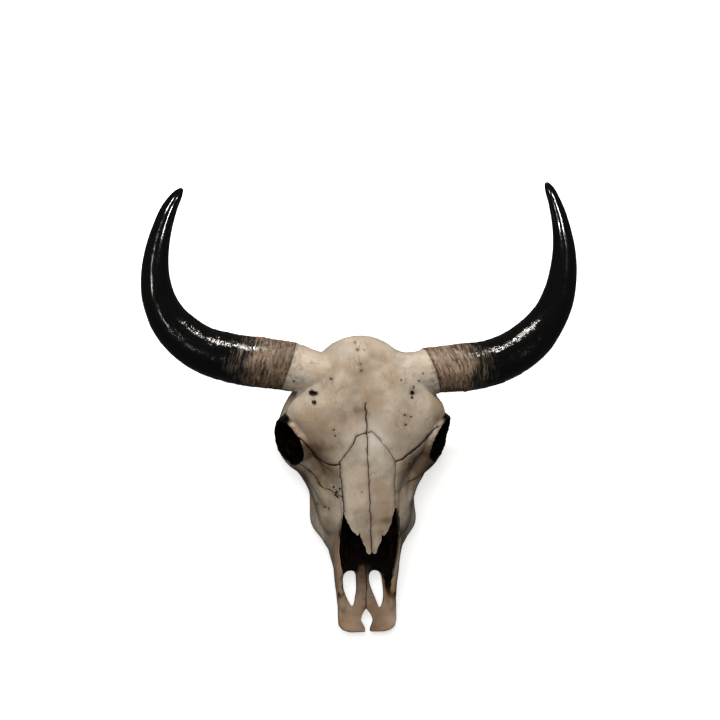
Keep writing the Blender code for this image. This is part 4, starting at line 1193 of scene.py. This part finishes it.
def tooth_ring(y, breadth, length, wide, rise, side):
    """Two lobes to the tongue, and three upright ribs to the cheek."""
    ring = []
    for k in range(TOOTH_POINTS):
        a = 2 * math.pi * k / TOOTH_POINTS
        out = math.copysign(abs(math.cos(a)) ** 0.6, math.cos(a))
        along = math.copysign(abs(math.sin(a)) ** 0.6, math.sin(a))
        ribs = 0.06 * math.cos(2 * math.pi * along) * (1 if out * side > 0 else -1) * abs(out)
        x = (0.0610 - 1.3 * (y - 0.268) ** 2) * side + 0.5 * breadth * wide * (out + ribs * side)
        at = y + 0.5 * length * wide * along
        ring.append((x, at, base_level(at) + rise))
    return ring


enamel, tree, shader = bare_material("worn_enamel")
at = add(tree, "TexCoord", {}).outputs["Object"]
# Stain runs up the crown in streaks 3 mm wide
streak = cloud(tree, stretch(tree, at, (330.0, 330.0, 40.0)), 1.0, 4.0)
ivory = blend(tree, fit(tree, streak, 0.35, 0.65), "#c4b08c", "#6d543a")
tree.links.new(ivory, shader.inputs["Base Color"])
shader.inputs["Roughness"].default_value = 0.32
dent(tree, shader, streak, 0.0004, 0.6)
# Height up the crown, and how wide the crown is there
CROWN = [(0.0002, 0.90), (0.0015, 0.97), (0.006, 1.0), (0.016, 0.97), (0.028, 0.91), (0.040, 0.84)]
for word, side in SIDES.items():
    teeth = []
    for y, breadth, length in TOOTH_ROW:
        rings = [tooth_ring(y, breadth, length, wide, rise, side) for rise, wide in CROWN]
        crown = skin("tooth", rings)
        alone(crown)
        bpy.ops.object.mode_set(mode="EDIT")
        mesh = bmesh.from_edit_mesh(crown.data)
        for face in mesh.faces:
            face.select_set(face.normal.z < -0.9)
        bpy.ops.mesh.inset(thickness=0.0016)
        bpy.ops.mesh.inset(thickness=0.0009, depth=-0.0012)
        bpy.ops.object.mode_set(mode="OBJECT")
        teeth.append(crown)
    row = joined(teeth)
    row.name = f"cheek_teeth_{word}"
    row.data.materials.clear()
    row.data.materials.append(enamel)
    laid(row)

# The horn sheaths
# Keratin grown in cones over the bony cores: black and polished by wear along its length,
# brown, flaky and ringed by growth near the skull. Each is one swept and subdivided skin.
HORN_RINGS = 104
HORN_SIDES = 24
# Growth rings, furrows along the horn, scales and slow swells: the height of each, where it
# fades out along the horn, how the noise is squeezed, its size and its seed
SHEATH_SWELLS = [
    (0.00070, 0.055, 0.170, (0.10, 0.10, 1.0), 0.0036, 31),
    (0.00060, 0.10, 0.30, (0.10, 0.10, 1.0), 0.0095, 32),
    (0.00045, 0.15, 0.30, (1, 1, 0.35), 0.0042, 33),
    (0.00035, 0.10, 0.24, (1, 1, 1), 0.0028, 36),
    (0.0010, 0.25, 0.45, (1, 1, 1), 0.026, 34)]


def along_horn(piece, path):
    """Each vertex's place on the horn drawn out straight: across, across, and along."""
    rows = np.array(smooth_rows(measured(path), 600))
    middles, along = rows[:, 1:4], rows[:, 0]
    places, normals = mesh_places(piece)
    nearest = np.empty(len(places), int)
    for i, place in enumerate(places):
        nearest[i] = np.argmin(((middles - place) ** 2).sum(axis=1))
    ahead = np.gradient(middles, axis=0)
    ahead /= np.linalg.norm(ahead, axis=1)[:, None]
    side = np.cross(ahead, (0, 0, 1))
    side /= np.linalg.norm(side, axis=1)[:, None]
    up = np.cross(side, ahead)
    off = places - middles[nearest]
    s = along[nearest] + np.einsum("ij,ij->i", off, ahead[nearest])
    across = np.column_stack([np.einsum("ij,ij->i", off, side[nearest]),
                              np.einsum("ij,ij->i", off, up[nearest]), s])
    return places, normals, across


horn, tree, shader = bare_material("polished_horn")
straight = noted(tree, "straight", "Vector")
collar, flaky, soil_and_shade = (noted(tree, key) for key in ("collar", "flaky", "soil_and_shade"))
# Growth rings 3 mm apart, flakes 5 to 10 mm wide, and hair-fine fibres drawn coarse at 2 mm
sway = cloud(tree, straight, 60.0, 2.0, kind="Color")
wavy = add(tree, "Mix", {0: 0.012, 4: straight, 5: sway}, data_type="VECTOR").outputs[1]
rings = cloud(tree, stretch(tree, wavy, (26.0, 26.0, 300.0)), 1.0, 5.0, 0.68)
fibre = cloud(tree, stretch(tree, straight, (520.0, 520.0, 24.0)), 1.0, 3.0)
flake = cloud(tree, stretch(tree, straight, (95.0, 95.0, 190.0)), 1.0, 3.0, 0.6)
patch = cloud(tree, straight, 42.0, 3.0)
tone = fit(tree, rings, 0.38, 0.58)
brown = blend(tree, tone, "#33231a", "#a38c78")
brown = blend(tree, fit(tree, patch, 0.42, 0.66, 0.0, 0.7), brown, "#7d6754")
brown = blend(tree, fit(tree, flake, 0.50, 0.60, 0.0, 0.8), brown, "#48331f")
black = blend(tree, fibre, "#040404", "#0a0909")
grey = blend(tree, tone, "#0d0c0b", "#4a423a")
# The brown fades through grey into the black in ragged rings
ragged = reckon(tree, "MULTIPLY_ADD", reckon(tree, "ADD", rings, -0.5), 0.9, collar)
ragged = reckon(tree, "MULTIPLY_ADD", reckon(tree, "ADD", patch, -0.5), 1.1, ragged)
ragged = reckon(tree, "MINIMUM", ragged, reckon(tree, "MULTIPLY", collar, 5.0))
browning = fit(tree, ragged, 0.42, 0.80)
colour = blend(tree, fit(tree, ragged, 0.10, 0.42), black, grey)
colour = blend(tree, browning, colour, brown)
# Earth, and painted shade along the sheath's rim by the bone
colour = blend(tree, soil_and_shade, colour, "#1c100a")
tree.links.new(colour, shader.inputs["Base Color"])
wear_and_sheen = fit(tree, flake, 0.35, 0.70, 0.07, 0.18)
rough = add(tree, "Mix", {0: browning, 2: wear_and_sheen, 3: 0.60}).outputs[0]
tree.links.new(rough, shader.inputs["Roughness"])
shader.inputs["IOR"].default_value = 1.54
height = reckon(tree, "MULTIPLY", fibre, 0.12)
height = reckon(tree, "MULTIPLY_ADD", reckon(tree, "MULTIPLY", flake, flaky), 2.0, height)
height = reckon(tree, "MULTIPLY_ADD", reckon(tree, "MULTIPLY", rings, collar), 1.6, height)
dent(tree, shader, height, 0.0009)

for word, side in SIDES.items():
    path = on_side(HORN_PATHS[word], side)
    sheath = bar(f"sheath_{word}", path, HORN_RINGS, round_ends=False, sides=HORN_SIDES)
    # The root's rim stays sharp where it meets the bone
    alone(sheath)
    bpy.ops.object.mode_set(mode="EDIT")
    bpy.ops.mesh.select_all(action="DESELECT")
    mesh = bmesh.from_edit_mesh(sheath.data)
    caps = [face for face in mesh.faces if len(face.verts) == HORN_SIDES]
    min(caps, key=lambda face: abs(face.calc_center_median().x)).select_set(True)
    bpy.ops.transform.edge_crease(value=1.0)
    bpy.ops.object.mode_set(mode="OBJECT")
    root = Vector(path[0][:3])
    axis = (Vector(path[1][:3]) - root).normalized()
    burr = burr_axis(side)

    def past_burr(places):
        """Distance along the horn from the leaning plane of its burr."""
        return (places - np.array(root)) @ np.array(burr) / axis.dot(burr)

    places, _, drawn_out = along_horn(sheath, path)
    s = drawn_out[:, 2]
    places += np.array(axis) * ((s - past_burr(places)) * (1 - ramp(s, 0.0, 0.085)))[:, None]
    move_places(sheath, places)
    worked(sheath, "SUBSURF", levels=2, render_levels=2)
    places, normals, drawn_out = along_horn(sheath, path)
    s = drawn_out[:, 2]
    s += (past_burr(places) - s) * (1 - ramp(s, 0.0, 0.110))
    rise = np.zeros(len(s))
    for depth, low, high, squeeze, size, seed in SHEATH_SWELLS:
        rise += depth * (1 - ramp(s, low, high)) * noise(drawn_out * squeeze, size, seed)
    rise += 0.0012 * (1 - ramp(s, 0.002, 0.012)) * (0.4 + 0.6 * noise(drawn_out, 0.008, 35))
    places += normals * rise[:, None]
    move_places(sheath, places)
    mark(sheath, "straight", drawn_out)
    mark(sheath, "collar", 1 - ramp(s, 0.020, 0.130))
    # The sheath is darker for a few millimetres by the bone: painted shade under its lip, with earth
    soil_and_shade = (1 - ramp(s, 0.0008, 0.0050)) * (0.6 + 0.4 * noise(drawn_out, 0.006, 37))
    if word == "right":
        soiled = (0.30 + 0.25 * noise(drawn_out, 0.020, 38)) * (1 - ramp(s, 0.040, 0.085))
        soil_and_shade = np.maximum(soil_and_shade, soiled)
    mark(sheath, "soil_and_shade", soil_and_shade)
    mark(sheath, "flaky", ramp(s, 0.060, 0.095) * (1 - ramp(s, 0.205, 0.270)))
    sheath.data.materials.append(horn)
    laid(sheath)
    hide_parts(f"horn_sheath_{word}")

# The studio
# A pale seamless floor, broad soft light from above the poll, and the camera that looks down
# on the face as the photograph does: nearly square to it, a little to the skull's right.
CAMERA_YAW, CAMERA_TILT, CAMERA_ROLL = (math.radians(a) for a in (7.40, -2.02, 0.99))
CAMERA_DISTANCE = 3.5
CAMERA_TARGET = Vector((-0.0161, 0.4934, 0.0))
PIXEL_ON_FACE = 0.0017985
FRAME_PIXELS = 720
FLOOR_RADIUS = 6.0
SKULL_MIDDLE = (0, 0, 0.1)

bpy.ops.object.select_all(action="DESELECT")
bpy.ops.mesh.primitive_circle_add(vertices=96, radius=FLOOR_RADIUS, fill_type="TRIFAN")
floor = bpy.context.object
floor.name = "floor"
# Opal acrylic lit softly from below, which keeps a shadow on it faint. Its glow is screened off
# the skull, as black flags would do, so that the horns stay black to their edges
opal, tree, shader = bare_material("opal_acrylic")
shader.inputs["Base Color"].default_value = linear("#f4f3f1")
shader.inputs["Roughness"].default_value = 0.8
shader.inputs["Emission Color"].default_value = linear("#ffffff")
shader.inputs["Emission Strength"].default_value = 0.62
floor.data.materials.append(opal)
floor.visible_glossy = False
floor.visible_diffuse = False

toward = Vector((-math.sin(CAMERA_YAW) * math.cos(CAMERA_TILT), math.sin(CAMERA_TILT),
                 math.cos(CAMERA_YAW) * math.cos(CAMERA_TILT)))
right = Vector((0, 1, 0)).cross(toward).normalized()
upward = toward.cross(right)
rolled_right = right * math.cos(CAMERA_ROLL) - upward * math.sin(CAMERA_ROLL)
rolled_up = right * math.sin(CAMERA_ROLL) + upward * math.cos(CAMERA_ROLL)
turn = Matrix((rolled_right, rolled_up, toward)).transposed().to_4x4()


def set_up(name, data):
    """A camera or lamp, in the scene."""
    made = bpy.data.objects.new(name, data)
    bpy.context.scene.collection.objects.link(made)
    return made


def aimed(lamp, place, target):
    """Puts a lamp in its place and turns it to its target."""
    lamp.location = place
    lamp.rotation_euler = (Vector(target) - Vector(place)).to_track_quat("-Z", "Y").to_euler()


camera = set_up("camera", bpy.data.cameras.new("camera"))
camera.matrix_world = LAID @ Matrix.Translation(CAMERA_TARGET + toward * CAMERA_DISTANCE) @ turn
camera.data.angle = 2 * math.atan(0.5 * FRAME_PIXELS * PIXEL_ON_FACE / CAMERA_DISTANCE)
bpy.context.scene.camera = camera


def softbox(name, place, size, power, colour):
    """A square area light that faces the middle of the skull."""
    light = bpy.data.lights.new(name, "AREA")
    light.shape = "SQUARE"
    light.size = size
    light.energy = power
    light.color = linear(colour)[:3]
    lamp = set_up(name, light)
    aimed(lamp, place, SKULL_MIDDLE)
    return lamp


softbox("key", (-0.10, 2.3, 2.0), 0.36, 78, "#fffaf2")
ceiling = softbox("ceiling", (-0.75, 0.15, 3.8), 2.2, 92, "#fffdf8")
ceiling.visible_glossy = False
# Four narrow beams from the muzzle's side draw the streaks on the horns' tips
TIP_BEAMS = [((-0.84, -1.50, 2.20), (0.350, 0.390, 0.268)),
             ((1.17, -1.20, 2.65), (0.350, 0.390, 0.268)),
             ((-1.80, -0.45, 2.70), (-0.345, 0.390, 0.268)),
             ((0.36, -1.45, 2.40), (-0.340, 0.390, 0.268))]
for place, tip in TIP_BEAMS:
    light = bpy.data.lights.new("tip_beam", "SPOT")
    light.energy = 300
    light.shadow_soft_size = 0.22
    light.spot_size = math.radians(5.8)
    light.spot_blend = 0.6
    aimed(set_up("tip_beam", light), place, tip)
world = bpy.data.worlds.new("white_room")
bpy.context.scene.world = world
world.use_nodes = True
world.node_tree.nodes["Background"].inputs["Color"].default_value = linear("#ffffff")
world.node_tree.nodes["Background"].inputs["Strength"].default_value = 0.05
bpy.context.scene.view_settings.view_transform = "Standard"
